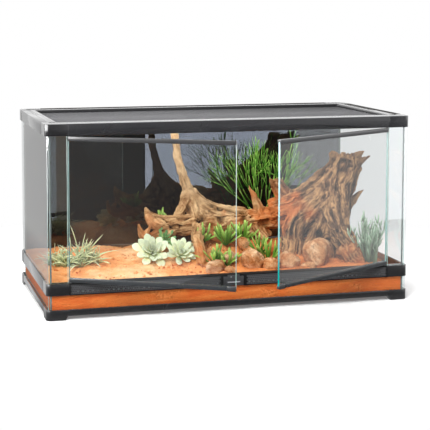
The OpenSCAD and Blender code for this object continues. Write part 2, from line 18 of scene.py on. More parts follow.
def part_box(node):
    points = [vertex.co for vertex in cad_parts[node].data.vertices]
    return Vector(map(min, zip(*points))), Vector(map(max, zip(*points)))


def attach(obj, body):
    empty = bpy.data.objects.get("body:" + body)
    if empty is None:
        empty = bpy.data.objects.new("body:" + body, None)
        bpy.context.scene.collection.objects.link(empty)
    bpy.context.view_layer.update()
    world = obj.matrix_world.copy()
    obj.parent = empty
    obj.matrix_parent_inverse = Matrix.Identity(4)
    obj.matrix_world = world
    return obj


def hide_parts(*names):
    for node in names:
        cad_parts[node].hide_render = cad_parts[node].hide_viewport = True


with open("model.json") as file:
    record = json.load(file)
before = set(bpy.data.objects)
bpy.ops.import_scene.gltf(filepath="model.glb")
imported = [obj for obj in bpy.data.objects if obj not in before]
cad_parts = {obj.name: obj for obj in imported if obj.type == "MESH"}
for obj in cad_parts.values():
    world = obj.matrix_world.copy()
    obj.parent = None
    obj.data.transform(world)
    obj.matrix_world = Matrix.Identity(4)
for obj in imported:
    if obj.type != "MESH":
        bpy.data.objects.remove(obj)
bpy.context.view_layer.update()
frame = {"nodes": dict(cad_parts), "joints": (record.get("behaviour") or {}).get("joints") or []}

LOG = logging.getLogger("terrarium")
MM = 0.001
NODES = frame["nodes"]
JOINTS = {joint["name"]: joint for joint in frame["joints"]}
WELD = 0.02 * MM
FLAT_DEG, BEVEL_DEG, SHARP_DEG = 1, 35, 40
WHITE = "#ffffff"
GOLDEN_TURN = 137.5

Socket = bpy.types.NodeSocket


# ---------------------------------------------------------------- colours and nodes

def linear(code: str) -> tuple[float, float, float, float]:
    """Turn an sRGB hex colour such as "#rrggbb" into linear RGBA."""
    parts = [int(code[i:i + 2], 16) / 255 for i in (1, 3, 5)]
    red, green, blue = (c / 12.92 if c <= 0.04045 else ((c + 0.055) / 1.055) ** 2.4 for c in parts)
    return red, green, blue, 1.0


class Graph:
    """A shader tree being wired: most methods add a node and return the output that carries its result."""

    def __init__(self, owner: Union[bpy.types.Material, bpy.types.World]) -> None:
        """Empty the tree of a material or world."""
        owner.use_nodes = True
        self.tree = owner.node_tree
        self.tree.nodes.clear()

    def node(self, kind: str, inputs: Optional[dict] = None, **settings) -> bpy.types.Node:
        """Add one node.

        Args:
            kind: The node's type, without its "ShaderNode".
            inputs: For each input, by name or number: its value, its hex colour or the output that feeds it.
            **settings: The node's own settings.

        Returns:
            The new node.
        """
        node = self.tree.nodes.new(f"ShaderNode{kind}")
        for key, value in settings.items():
            setattr(node, key, value)
        for key, value in (inputs or {}).items():
            if isinstance(value, Socket):
                self.tree.links.new(value, node.inputs[key])
            else:
                node.inputs[key].default_value = linear(value) if isinstance(value, str) else value
        return node

    def add(self, kind: str, inputs: Optional[dict] = None, output: Union[int, str] = 0,
            **settings) -> Socket:
        """Add one node, as node() does, and return one of its outputs."""
        return self.node(kind, inputs, **settings).outputs[output]

    def place(self, kind: str = "Object") -> Socket:
        """Return the texture coordinates."""
        return self.add("TexCoord", output=kind)

    def mark(self, name: str, kind: str = "Fac") -> Socket:
        """Return a point attribute."""
        return self.add("Attribute", output=kind, attribute_name=name)

    def ray(self, kind: str) -> Socket:
        """Return 1 for rays of a kind such as "Camera", or else 0."""
        return self.add("LightPath", output=f"Is {kind} Ray")

    def noise(self, at: Socket, scale: float, detail: float, rough: float = 0.5, warp: float = 0.0) -> Socket:
        """Return fractal noise from 0 to 1."""
        return self.add("TexNoise", {"Vector": at, "Scale": scale, "Detail": detail, "Roughness": rough,
                                     "Distortion": warp}, "Fac")

    def math(self, how: str, *values: Union[float, Socket]) -> Socket:
        """Return the result of an operation on up to three values."""
        return self.add("Math", dict(enumerate(values)), operation=how)

    def remap(self, value: Socket, start: float = 0.0, end: float = 1.0, low: Union[float, Socket] = 0.0,
              high: Union[float, Socket] = 1.0) -> Socket:
        """Return value moved from the range start to end into the range low to high, and kept within it."""
        return self.add("MapRange", {"Value": value, "From Min": start, "From Max": end, "To Min": low,
                                     "To Max": high})

    def ramp(self, value: Socket, *stops: tuple[float, str]) -> Socket:
        """Return a value's colour on a ramp.

        Args:
            value: The value.
            *stops: Position and hex colour of the first stop, the last and then those between.

        Returns:
            The colour.
        """
        node = self.node("ValToRGB", {0: value})
        ramp = node.color_ramp.elements
        for index, (place, code) in enumerate(stops):
            stop = ramp[index] if index < 2 else ramp.new(place)
            stop.position = place
            stop.color = linear(code)
        return node.outputs[0]

    def blend(self, share: Socket, first: Union[str, Socket], second: Union[str, Socket]) -> Socket:
        """Return the first colour, with a share of the second."""
        return self.add("Mix", {"Factor": share, "A": first, "B": second}, "Result", data_type="RGBA")

    def bump(self, height: Socket, strength: float, depth_mm: float, **more: Socket) -> Socket:
        """Return a normal that follows height."""
        return self.add("Bump", {"Height": height, "Strength": strength, "Distance": depth_mm * MM, **more})

    def axes(self, vector: Socket) -> Sequence[Socket]:
        """Return a vector's x, y and z."""
        return self.node("SeparateXYZ", {0: vector}).outputs

    def mix(self, share: Union[float, Socket], first: Socket, second: Socket) -> Socket:
        """Return the first shader, with a share of the second."""
        return self.add("MixShader", {0: share, 1: first, 2: second})

    def glow(self, strength: Union[float, Socket], colour: str = WHITE, kind: str = "Emission") -> Socket:
        """Return a shader that gives light."""
        return self.add(kind, {"Color": colour, "Strength": strength})


def new_material(name: str, wire: Callable[[Graph], Socket]) -> bpy.types.Material:
    """Make a material.

    Args:
        name: The material's name.
        wire: Wires the tree that it is given and returns the shader.

    Returns:
        The material.
    """
    material = bpy.data.materials.new(name)
    graph = Graph(material)
    graph.node("OutputMaterial", {"Surface": wire(graph)})
    return material


# ---------------------------------------------------------------- finishes

@dataclass(frozen=True)
class MouldedPlastic:
    """Injection-moulded ABS with a spark-eroded satin texture: dark in front, bright at a low angle.

    The grain of the real mould is about 0.1 mm; it is drawn at 0.8 mm so that it shows.
    """

    name: str
    colour: str
    roughness: float = 0.24
    ior: float = 1.75
    coat: float = 1.0
    grain_mm: float = 0.8
    depth_mm: float = 0.03

    def wire(self, graph: Graph) -> Socket:
        """Wire the finish and return its shader."""
        at = graph.place()
        grain = graph.noise(at, 1 / (self.grain_mm * MM), 3.0)
        sheen = graph.remap(graph.noise(at, 14.0, 2.0), low=self.roughness - 0.06, high=self.roughness + 0.08)
        return graph.add("BsdfPrincipled", {
            "Base Color": self.colour, "IOR": self.ior, "Coat Weight": self.coat, "Coat IOR": self.ior,
            "Coat Roughness": self.roughness / 2, "Roughness": sheen,
            "Normal": graph.bump(grain, 0.35, self.depth_mm)})


@dataclass(frozen=True)
class FloatGlass:
    """Clear float glass, 5 mm: see-through in front, a mirror at a low angle.

    The outer face carries the reflection of both faces, so light passes straight through. Below the band
    the sand's dust clings to it and takes most of its mirror image away.
    """

    name: str
    tint: str = "#fdfefe"
    ior: float = 1.52
    dusty_mm: tuple[float, float] = (71.0, 73.0)
    dusty_share: float = 0.3

    def wire(self, graph: Graph) -> Socket:
        """Wire the finish and return its shader."""
        fresnel = graph.add("Fresnel", {"IOR": self.ior})
        both = graph.math("DIVIDE", graph.math("MULTIPLY", fresnel, 2.0), graph.math("ADD", fresnel, 1.0))
        front = graph.math("SUBTRACT", 1.0, graph.add("NewGeometry", output="Backfacing"))
        start, end = (level * MM for level in self.dusty_mm)
        clean = graph.remap(graph.axes(graph.place())["Z"], start, end, self.dusty_share)
        shine = graph.math("MULTIPLY", graph.math("MULTIPLY", both, front), clean)
        return graph.mix(shine, graph.add("BsdfTransparent", {"Color": self.tint}),
                         graph.add("BsdfGlossy", {"Color": WHITE, "Roughness": 0.0}))


@dataclass(frozen=True)
class PolishedEdge:
    """Ground and polished edge of float glass: the iron shows as sea green, made paler towards the top with
    painted light from above.
    """

    name: str
    deep: str
    pale: str
    patch_mm: float = 60.0
    span_mm: tuple[float, float] = (90.0, 430.0)
    roughness: float = 0.12
    ior: float = 1.52

    def wire(self, graph: Graph) -> Socket:
        """Wire the finish and return its shader."""
        at = graph.place()
        start, end = (level * MM for level in self.span_mm)
        # painted light: the edge is paler the higher it is
        high = graph.remap(graph.axes(at)["Z"], start, end, high=0.8)
        level = graph.math("MULTIPLY_ADD", graph.noise(at, 1 / (self.patch_mm * MM), 2.0), 0.3, high)
        tone = graph.ramp(level, (0.22, self.deep), (0.88, self.pale))
        return graph.add("BsdfPrincipled", {"Base Color": tone, "Roughness": self.roughness, "IOR": self.ior})


@dataclass(frozen=True)
class Rubbed:
    """Metal or film with an even colour and faint rub marks."""

    name: str
    colour: str
    metallic: float
    roughness: float
    mark_mm: float = 4.0

    def wire(self, graph: Graph) -> Socket:
        """Wire the finish and return its shader."""
        marks = graph.noise(graph.place(), 1 / (self.mark_mm * MM), 4.0)
        rough = graph.remap(marks, low=max(self.roughness - 0.08, 0.02), high=self.roughness + 0.08)
        return graph.add("BsdfPrincipled", {"Base Color": self.colour, "Metallic": self.metallic,
                                            "Roughness": rough})


@dataclass(frozen=True)
class DesertSand:
    """Fine quartz sand, tinted orange by iron: matt and speckled, deeper where it is pressed to the glass,
    and darkened by painted shade where its mark says.
    """

    name: str
    pale_tone: str
    mid: str
    damp: str
    speck: str
    pressed: str
    layer: str
    grain_mm: float = 2.2
    surface_mm: tuple[float, float] = (57.5, 66.0)

    def wire(self, graph: Graph) -> Socket:
        """Wire the finish and return its shader."""
        at = graph.place()
        grain = graph.noise(at, 1 / (self.grain_mm * MM), 3.0)
        drift = graph.math("MULTIPLY", graph.noise(at, 11.0, 7.0, 0.62), 0.85)
        # the mark and random drift pick the colour: the mark is painted shade on the bed and a darker tone on
        # the clods
        top = graph.ramp(graph.math("ADD", drift, graph.mark("damp")),
                         (0.36, self.pale_tone), (1.0, self.damp), (0.56, self.mid))
        low, high = (level * MM for level in self.surface_mm)
        deep = graph.remap(graph.axes(at)["Z"], high, low)
        body = graph.blend(deep, top, self.behind_glass(graph, at))
        fleck = graph.blend(graph.remap(grain, 0.63, 0.76, high=0.85), body, self.speck)
        rise = graph.bump(graph.noise(at, 110.0, 6.0, 0.7), 1.0, 4.0)
        return graph.add("BsdfPrincipled", {
            "Base Color": fleck, "Roughness": 0.92, "Specular IOR Level": 0.25,
            "Normal": graph.bump(grain, 0.8, 1.4, Normal=rise)})

    def behind_glass(self, graph: Graph, at: Socket) -> Socket:
        """Return the colour of the sand behind the glass: flat layers with loose crumbs between them."""
        flat = graph.add("Mapping", {"Vector": at, "Scale": (7.0, 7.0, 42.0)})
        layers = graph.ramp(graph.noise(flat, 1.0, 6.0, warp=1.2),
                            (0.36, self.pressed), (0.86, self.mid), (0.66, self.layer))
        long = graph.add("Mapping", {"Vector": at, "Scale": (1.0, 1.0, 2.4)})
        loose = graph.remap(graph.noise(long, 9.0, 3.0, 0.6), 0.54, 0.66, high=0.7)
        crumbs = graph.ramp(graph.noise(at, 190.0, 4.0, 0.7),
                            (0.36, self.speck), (0.68, self.mid), (0.50, self.layer))
        return graph.blend(loose, layers, crumbs)


@dataclass(frozen=True)
class WeatheredWood:
    """Driftwood: pale ridges; dark checks along the grain and dark hollows, whose darkness is painted shade
    along with the wood's own tone; sand dust low down; pale patches lit with painted light.
    """

    name: str
    ridge: str
    body: str
    check_and_shade: str
    dust: str
    # colour of the pale patches: painted light on paler wood
    pale_and_lit: str = "#ecca9e"
    fibre_mm: float = 1.7

    def wire(self, graph: Graph) -> Socket:
        """Wire the finish and return its shader."""
        along = graph.mark("grain", "Vector")
        fibre = graph.noise(along, 1 / (self.fibre_mm * MM), 4.0, 0.65)
        broad = graph.math("MULTIPLY", graph.noise(along, 70.0, 4.0), 0.62)
        depth = graph.math("ADD", broad, graph.mark("groove"))
        total = graph.math("ADD", depth, graph.math("MULTIPLY", fibre, 0.62))
        # the ramp runs from the checks' colour, which carries painted shade, through the body to the ridges
        tone = graph.ramp(graph.remap(total, 0.62, 1.52),
                          (0.04, self.check_and_shade), (0.94, self.ridge), (0.46, self.body))
        # pale patches take the lighter colour: painted light and paler wood
        pale = graph.blend(graph.math("MULTIPLY", graph.mark("bleach"), depth), tone, self.pale_and_lit)
        return graph.add("BsdfPrincipled", {
            "Base Color": graph.blend(graph.mark("dust"), pale, self.dust), "Roughness": 0.82,
            "Specular IOR Level": 0.3, "Normal": graph.bump(fibre, 0.9, 1.8)})


@dataclass(frozen=True)
class Sandstone:
    """Pale sandstone with rusty stains, veins and pits."""

    name: str
    pale: str
    mid: str
    rust: str
    seam: str = "#6b3a1c"
    pit_mm: float = 5.0

    def wire(self, graph: Graph) -> Socket:
        """Wire the finish and return its shader."""
        at = graph.place()
        tone = graph.ramp(graph.noise(at, 26.0, 7.0, 0.68, 0.6), (0.36, self.rust), (0.66, self.pale),
                          (0.5, self.mid))
        off = graph.math("SUBTRACT", graph.noise(at, 34.0, 5.0, warp=2.2), 0.5)
        crack = graph.remap(graph.math("ABSOLUTE", off), 0.004, 0.022, 0.62, 0.0)
        pits = graph.noise(at, 1 / (self.pit_mm * MM), 5.0)
        return graph.add("BsdfPrincipled", {
            "Base Color": graph.blend(crack, tone, self.seam), "Roughness": 0.85, "Specular IOR Level": 0.3,
            "Normal": graph.bump(pits, 1.0, 3.0)})


@dataclass(frozen=True)
class MouldedLeaf:
    """Soft moulded leaf with a wax bloom. Its base, blade and tip differ in colour, and it is translucent."""

    name: str
    base: str
    blade: str
    tip: str
    roughness: float = 0.45
    through: float = 0.22

    def wire(self, graph: Graph) -> Socket:
        """Wire the finish and return its shader."""
        tone = graph.ramp(graph.mark("out"), (0.0, self.base), (1.0, self.tip), (0.5, self.blade))
        mottle = graph.math("MULTIPLY", graph.noise(graph.place(), 120.0, 3.0), 0.24)
        light = graph.math("ADD", mottle, graph.mark("shade"))
        leaf = graph.add("HueSaturation", {"Value": light, "Color": tone})
        skin = graph.add("BsdfPrincipled", {"Base Color": leaf, "Roughness": self.roughness,
                                            "Specular IOR Level": 0.4})
        return graph.mix(self.through, skin, graph.add("BsdfTranslucent", {"Color": leaf}))


class Finish(Enum):
    """The finishes of the terrarium, by the real material; some also carry painted light or painted shade."""

    FRAME = MouldedPlastic("abs_black_satin", "#1d1d1f")
    # a lighter copy of the black plastic: painted light on the front faces
    FRAME_FRONT = MouldedPlastic("abs_black_top_front", "#262629")
    FRAME_MATT = MouldedPlastic("abs_black_fine_matt", "#1f1d1b", roughness=0.62, ior=1.3, coat=0.0)
    VENT = MouldedPlastic("abs_grey_vent", "#4a4a4c", roughness=0.5, ior=1.5, coat=0.0)
    LATCH = MouldedPlastic("abs_charcoal_satin", "#343436", roughness=0.3)
    RAIL = MouldedPlastic("abs_grey_satin", "#363638", roughness=0.3)
    RAIL_LOW = MouldedPlastic("abs_black_soft", "#2f3235")
    GLASS = FloatGlass("float_glass_clear")
    EDGE_DEEP = PolishedEdge("float_glass_edge_green", "#0b8f8c", "#cbe6ec")
    EDGE_PALE = PolishedEdge("float_glass_edge_pale", "#a9c9c3", "#dcebe6")
    EDGE_STRIP = PolishedEdge("float_glass_edge_grey_green", "#93b0aa", "#c9d9d5")
    EDGE_CORNER = PolishedEdge("float_glass_edge_bonded", "#86a8a3", "#eef4f3")
    EDGE_HINGE = PolishedEdge("float_glass_edge_shaded", "#6d9a96", "#a9c6c2")
    FILM = Rubbed("vinyl_film_black", "#050506", 0.0, 0.5)
    STEEL = Rubbed("turned_steel", "#b9b9b6", 1.0, 0.3)
    WIRE = Rubbed("coated_wire_grey", "#5a5a5c", 0.0, 0.45)
    # near black behind the vent's holes: painted shade
    SHADE = Rubbed("abs_black_matt", "#0b0b0c", 0.0, 0.85)
    # pale grey for the lock's two painted highlights
    MARK = Rubbed("abs_pale_grey_print", "#a3a1a5", 0.0, 0.5)
    SEALANT = Rubbed("silicone_clear_cured", "#6d7573", 0.0, 0.25)
    SAND = DesertSand("quartz_sand_orange", "#ffd6a2", "#f3a464", "#c26a36", "#7c3f20", "#d0622a", "#dc7a3a")
    STUMP = WeatheredWood("driftwood_grey_brown", "#c79b6c", "#634630", "#180d08", "#c8733c")
    BRANCH = WeatheredWood("driftwood_tan", "#e6bd8a", "#996d43", "#2a180c", "#c8733c")
    ROCK = Sandstone("sandstone_pale", "#e0bd97", "#bd885c", "#92501f")
    ROSETTE = MouldedLeaf("pvc_leaf_mint", "#b0c068", "#e9edca", "#d6e1c6")
    ROSETTE_DARK = MouldedLeaf("pvc_leaf_green", "#d3e29a", "#8fb872", "#5f9160")
    GRASS = MouldedLeaf("pvc_blade_pale", "#7f8955", "#bbc496", "#e0e3bd")
    BUSH = MouldedLeaf("pvc_shoot_green", "#35701f", "#6cb03a", "#b8e66c")
    FINGERS = MouldedLeaf("pvc_finger_green", "#2f6420", "#6fa63a", "#bcdc74", roughness=0.3)
    CHALK = MouldedLeaf("pvc_shoot_blue_green", "#6c8c64", "#9cb79e", "#c8dac6")

    def material(self) -> bpy.types.Material:
        """Return this finish's material, made on first use."""
        return bpy.data.materials.get(self.value.name) or new_material(self.value.name, self.value.wire)


# ---------------------------------------------------------------- modelling tools

def activate(obj: bpy.types.Object) -> None:
    """Make obj the only selected and the active object."""
    bpy.ops.object.select_all(action="DESELECT")
    obj.select_set(True)
    bpy.context.view_layer.objects.active = obj


@contextmanager
def editing(obj: bpy.types.Object) -> Iterator[None]:
    """Edit obj's mesh, with all of it selected at first."""
    activate(obj)
    bpy.ops.object.mode_set(mode="EDIT")
    bpy.ops.mesh.select_all(action="SELECT")
    yield
    bpy.ops.object.mode_set(mode="OBJECT")


def add_shape(operator: Callable, name: str, scale: Sequence[float] = (1, 1, 1),
              **settings) -> bpy.types.Object:
    """Add a basic shape and put its place, turn and scale into its mesh.

    Args:
        operator: The operator that adds the shape.
        name: The object's name.
        scale: Its scale along each axis.
        **settings: The operator's settings.

    Returns:
        The new object.
    """
    bpy.ops.object.select_all(action="DESELECT")
    operator(**settings)
    made = bpy.context.object
    made.name = name
    made.scale = scale
    activate(made)
    bpy.ops.object.transform_apply(location=True, rotation=True, scale=True)
    return made


def add_block(name: str, low: Vector, high: Vector) -> bpy.types.Object:
    """Add a block between its lowest and its highest corner."""
    return add_shape(bpy.ops.mesh.primitive_cube_add, name, high - low, size=1, location=(low + high) / 2)


def apply_modifier(obj: bpy.types.Object, kind: str, **settings) -> None:
    """Add a modifier and apply it.

    Args:
        obj: The object.
        kind: The modifier's type, such as "BEVEL".
        **settings: The modifier's settings.
    """
    activate(obj)
    modifier = obj.modifiers.new(kind.lower(), kind)
    for key, value in settings.items():
        setattr(modifier, key, value)
    bpy.ops.object.modifier_apply(modifier=modifier.name)


def shade(obj: bpy.types.Object, sharp_deg: Optional[float] = None) -> bpy.types.Object:
    """Shade an object smooth.

    Args:
        obj: The object.
        sharp_deg: Edges sharper than this angle stay sharp; without it, none does.

    Returns:
        The object.
    """
    activate(obj)
    if sharp_deg is None:
        bpy.ops.object.shade_smooth()
    else:
        bpy.ops.object.shade_smooth_by_angle(angle=math.radians(sharp_deg))
    return obj


def paint(obj: bpy.types.Object, *finishes: Finish) -> None:
    """Give obj its materials, in the order of its face indices."""
    obj.data.materials.clear()
    for finish in finishes:
        obj.data.materials.append(finish.material())


def set_mark(obj: bpy.types.Object, key: str, values: np.ndarray) -> None:
    """Keep a number or a vector for each point in a new attribute.

    Args:
        obj: The object.
        key: The attribute's name.
        values: One number or one row for each point.
    """
    kind, field = ("FLOAT", "value") if values.ndim == 1 else ("FLOAT_VECTOR", "vector")
    mark = obj.data.attributes.new(key, kind, "POINT")
    mark.data.foreach_set(field, values.astype(np.float32).ravel())


def mark_of(obj: bpy.types.Object, key: str) -> np.ndarray:
    """Return the numbers of one point attribute, or zeros if obj doesn't have it."""
    values = np.zeros(len(obj.data.vertices), np.float32)
    if key in obj.data.attributes:
        obj.data.attributes[key].data.foreach_get("value", values)
    return values.astype(float)


def set_points(obj: bpy.types.Object, points: np.ndarray) -> None:
    """Move obj's points to rows of x, y, z."""
    obj.data.vertices.foreach_set("co", points.astype(np.float32).ravel())


def points_of(obj: bpy.types.Object) -> np.ndarray:
    """Return obj's points as rows of x, y, z."""
    flat = np.zeros(len(obj.data.vertices) * 3, np.float32)
    obj.data.vertices.foreach_get("co", flat)
    return flat.reshape(-1, 3).astype(float)


def from_arrays(name: str, points: np.ndarray, faces: Iterable[Sequence[int]],
                marks: Optional[dict[str, np.ndarray]] = None) -> bpy.types.Object:
    """Make a mesh object.

    Args:
        name: The object's name.
        points: One row of x, y, z for each point, in metres.
        faces: The point numbers of each face.
        marks: Attributes by name, as set_mark() takes them.

    Returns:
        The new object.
    """
    mesh = bpy.data.meshes.new(name)
    mesh.from_pydata(points.tolist(), [], [list(face) for face in faces])
    obj = bpy.data.objects.new(name, mesh)
    bpy.context.scene.collection.objects.link(obj)
    for key, values in (marks or {}).items():
        set_mark(obj, key, values)
    return obj


def spread_copies(name: str, master: bpy.types.Object, places: Sequence[Matrix],
                  shades: Sequence[float] = ()) -> bpy.types.Object:
    """Copy one small mesh to many places, as one object.

    Args:
        name: The new object's name.
        master: The mesh to repeat; it is removed afterwards.
        places: One matrix for each copy.
        shades: Brightness of each copy, kept in the attribute "shade".

    Returns:
        The new object.
    """
    points = points_of(master)
    faces = [tuple(face.vertices) for face in master.data.polygons]
    spots = [points @ np.array(place.to_3x3()).T + np.array(place.translation) for place in places]
    copied = [[copy * len(points) + i for i in face] for copy in range(len(places)) for face in faces]
    light = np.array(shades) if len(shades) else np.ones(len(places))
    made = from_arrays(name, np.vstack(spots), copied, {
        "out": np.tile(mark_of(master, "out"), len(places)), "shade": np.repeat(light, len(points))})
    bpy.data.objects.remove(master)
    return shade(made)


def join(name: str, parts: Sequence[bpy.types.Object]) -> bpy.types.Object:
    """Join objects into one.

    Args:
        name: The joined object's name.
        parts: The objects.

    Returns:
        The joined object.
    """
    activate(parts[0])
    for part in parts:
        part.select_set(True)
    bpy.ops.object.join()
    parts[0].name = name
    return parts[0]


def hand_over(obj: bpy.types.Object, body: str, slot: str, *nodes: str) -> None:
    """Let a finished piece ride on its body, in place of its CAD nodes.

    Args:
        obj: The piece.
        body: The body that it rides on.
        slot: Its material slot; not used.
        *nodes: The CAD nodes that it replaces.
    """
    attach(obj, body)
    if nodes:
        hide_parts(*nodes)
    LOG.info("%s: %d faces, on %s", obj.name, len(obj.data.polygons), body)


def dress_copy(node: str, body: str, slot: str, finish: Finish, edge_mm: float) -> None:
    """Replace a moulded CAD node by a copy with rounded edges.

    Args:
        node: The CAD node.
        body: The body that it rides on.
        slot: Its material slot.
        finish: Its finish.
        edge_mm: Radius of its edges.
    """
    obj = bpy.data.objects.new(f"{node}_moulded", NODES[node].data.copy())
    bpy.context.scene.collection.objects.link(obj)
    with editing(obj):
        bpy.ops.mesh.remove_doubles(threshold=WELD)
        bpy.ops.mesh.dissolve_limited(angle_limit=math.radians(FLAT_DEG))
    apply_modifier(obj, "BEVEL", width=edge_mm * MM, segments=2, limit_method="ANGLE",
                   angle_limit=math.radians(BEVEL_DEG), use_clamp_overlap=True)
    paint(shade(obj, SHARP_DEG), finish)
    hand_over(obj, body, slot, node)


# ---------------------------------------------------------------- noise, curves and tubes

def lattice(points: np.ndarray, seed: int) -> np.ndarray:
    """Return smooth value noise from -1 to 1, one cell for each unit.

    Args:
        points: Rows of x, y, z.
        seed: Seed of the noise.

    Returns:
        One number for each row.
    """
    cell = np.floor(points).astype(np.int64)
    part = points - cell
    part = part * part * (3 - 2 * part)
    total = np.zeros(len(points))
    for corner in itertools.product((0, 1), repeat=3):
        spot = (cell + np.array(corner)).astype(np.uint64)
        key = (spot[:, 0] * np.uint64(374761393) + spot[:, 1] * np.uint64(668265263)
               + spot[:, 2] * np.uint64(2246822519) + np.uint64(seed * 3266489917))
        key = (key ^ (key >> np.uint64(15))) * np.uint64(2654435761)
        key = (key ^ (key >> np.uint64(13))) & np.uint64(65535)
        weight = np.prod(np.where(np.array(corner) == 1, part, 1 - part), axis=1)
        total += weight * (key.astype(float) / 32767.5 - 1)
    return total


def cloud(points: np.ndarray, seed: int, octaves: int = 4, gain: float = 0.5) -> np.ndarray:
    """Return fractal noise, the broadest octave one cell for each unit.

    Args:
        points: Rows of x, y, z.
        seed: Seed of the noise.
        octaves: How many layers it has.
        gain: Strength of each octave over the one before.

    Returns:
        One number for each row.
    """
    total, size = np.zeros(len(points)), 1.0
    for octave in range(octaves):
        total += lattice(points * 2.03 ** octave + 17.7 * octave, seed + octave) * size
        size *= gain
    return total


def curve_through(stations: np.ndarray, step: float) -> np.ndarray:
    """Lay a smooth curve through stations.

    Args:
        stations: Rows that begin with x, y, z.
        step: About how far apart the new rows are.

    Returns:
        Rows along the curve.
    """
    ends = np.vstack([2 * stations[0] - stations[1], stations, 2 * stations[-1] - stations[-2]])
    rows = []
    for a, b, c, d in zip(ends, ends[1:], ends[2:], ends[3:]):
        count = max(int(np.linalg.norm((c - b)[:3]) / step), 2)
        for t in np.arange(count) / count:
            rows.append(0.5 * (2 * b + (c - a) * t + (2 * a - 5 * b + 4 * c - d) * t ** 2
                               + (3 * b - a - 3 * c + d) * t ** 3))
    return np.array(rows + [stations[-1]])


def frames_along(path: np.ndarray) -> tuple[np.ndarray, np.ndarray, np.ndarray, np.ndarray]:
    """Find cross directions along a path that don't twist.

    Args:
        path: Rows of x, y, z.

    Returns:
        For each row its tangent, its two cross directions and the length so far.
    """
    tangent = np.gradient(path, axis=0)
    tangent /= np.linalg.norm(tangent, axis=1)[:, None] + 1e-9
    start = np.cross(tangent[0], (0.0, 0.0, 1.0) if abs(tangent[0][2]) < 0.8 else (1.0, 0.0, 0.0))
    side = [start / np.linalg.norm(start)]
    for direction in tangent[1:]:
        turned = side[-1] - direction * side[-1].dot(direction)
        side.append(turned / np.linalg.norm(turned))
    first = np.array(side)
    steps = np.linalg.norm(np.diff(path, axis=0), axis=1)
    return tangent, first, np.cross(tangent, first), np.concatenate([[0.0], np.cumsum(steps)])


def around(sides: int) -> np.ndarray:
    """Return angles that divide a full turn."""
    return np.arange(sides) * 2 * math.pi / sides


def rings_along(path: np.ndarray, wide: np.ndarray, deep: np.ndarray) -> np.ndarray:
    """Lay rings of points round a path.

    Args:
        path: Rows of x, y, z.
        wide: Each point's reach in the first cross direction.
        deep: Each point's reach in the second cross direction.

    Returns:
        The points as rows of x, y, z.
    """
    _, first, second, _ = frames_along(path)
    return (path[:, None, :] + first[:, None, :] * wide[..., None]
            + second[:, None, :] * deep[..., None]).reshape(-1, 3)


def tube_faces(rings: int, sides: int, start: int = 0) -> list[list[int]]:
    """List the faces of a closed tube: its wall and its two ends.

    Args:
        rings: How many rings it has.
        sides: How many points each ring has.
        start: The number of its first point.

    Returns:
        The point numbers of each face.
    """
    grid = start + np.arange(rings * sides).reshape(rings, sides)
    after = np.roll(grid, -1, axis=1)
    wall = np.stack([grid[:-1], after[:-1], after[1:], grid[1:]], axis=2).reshape(-1, 4)
    return [*wall.tolist(), grid[0, ::-1].tolist(), grid[-1].tolist()]


# ---------------------------------------------------------------- frames

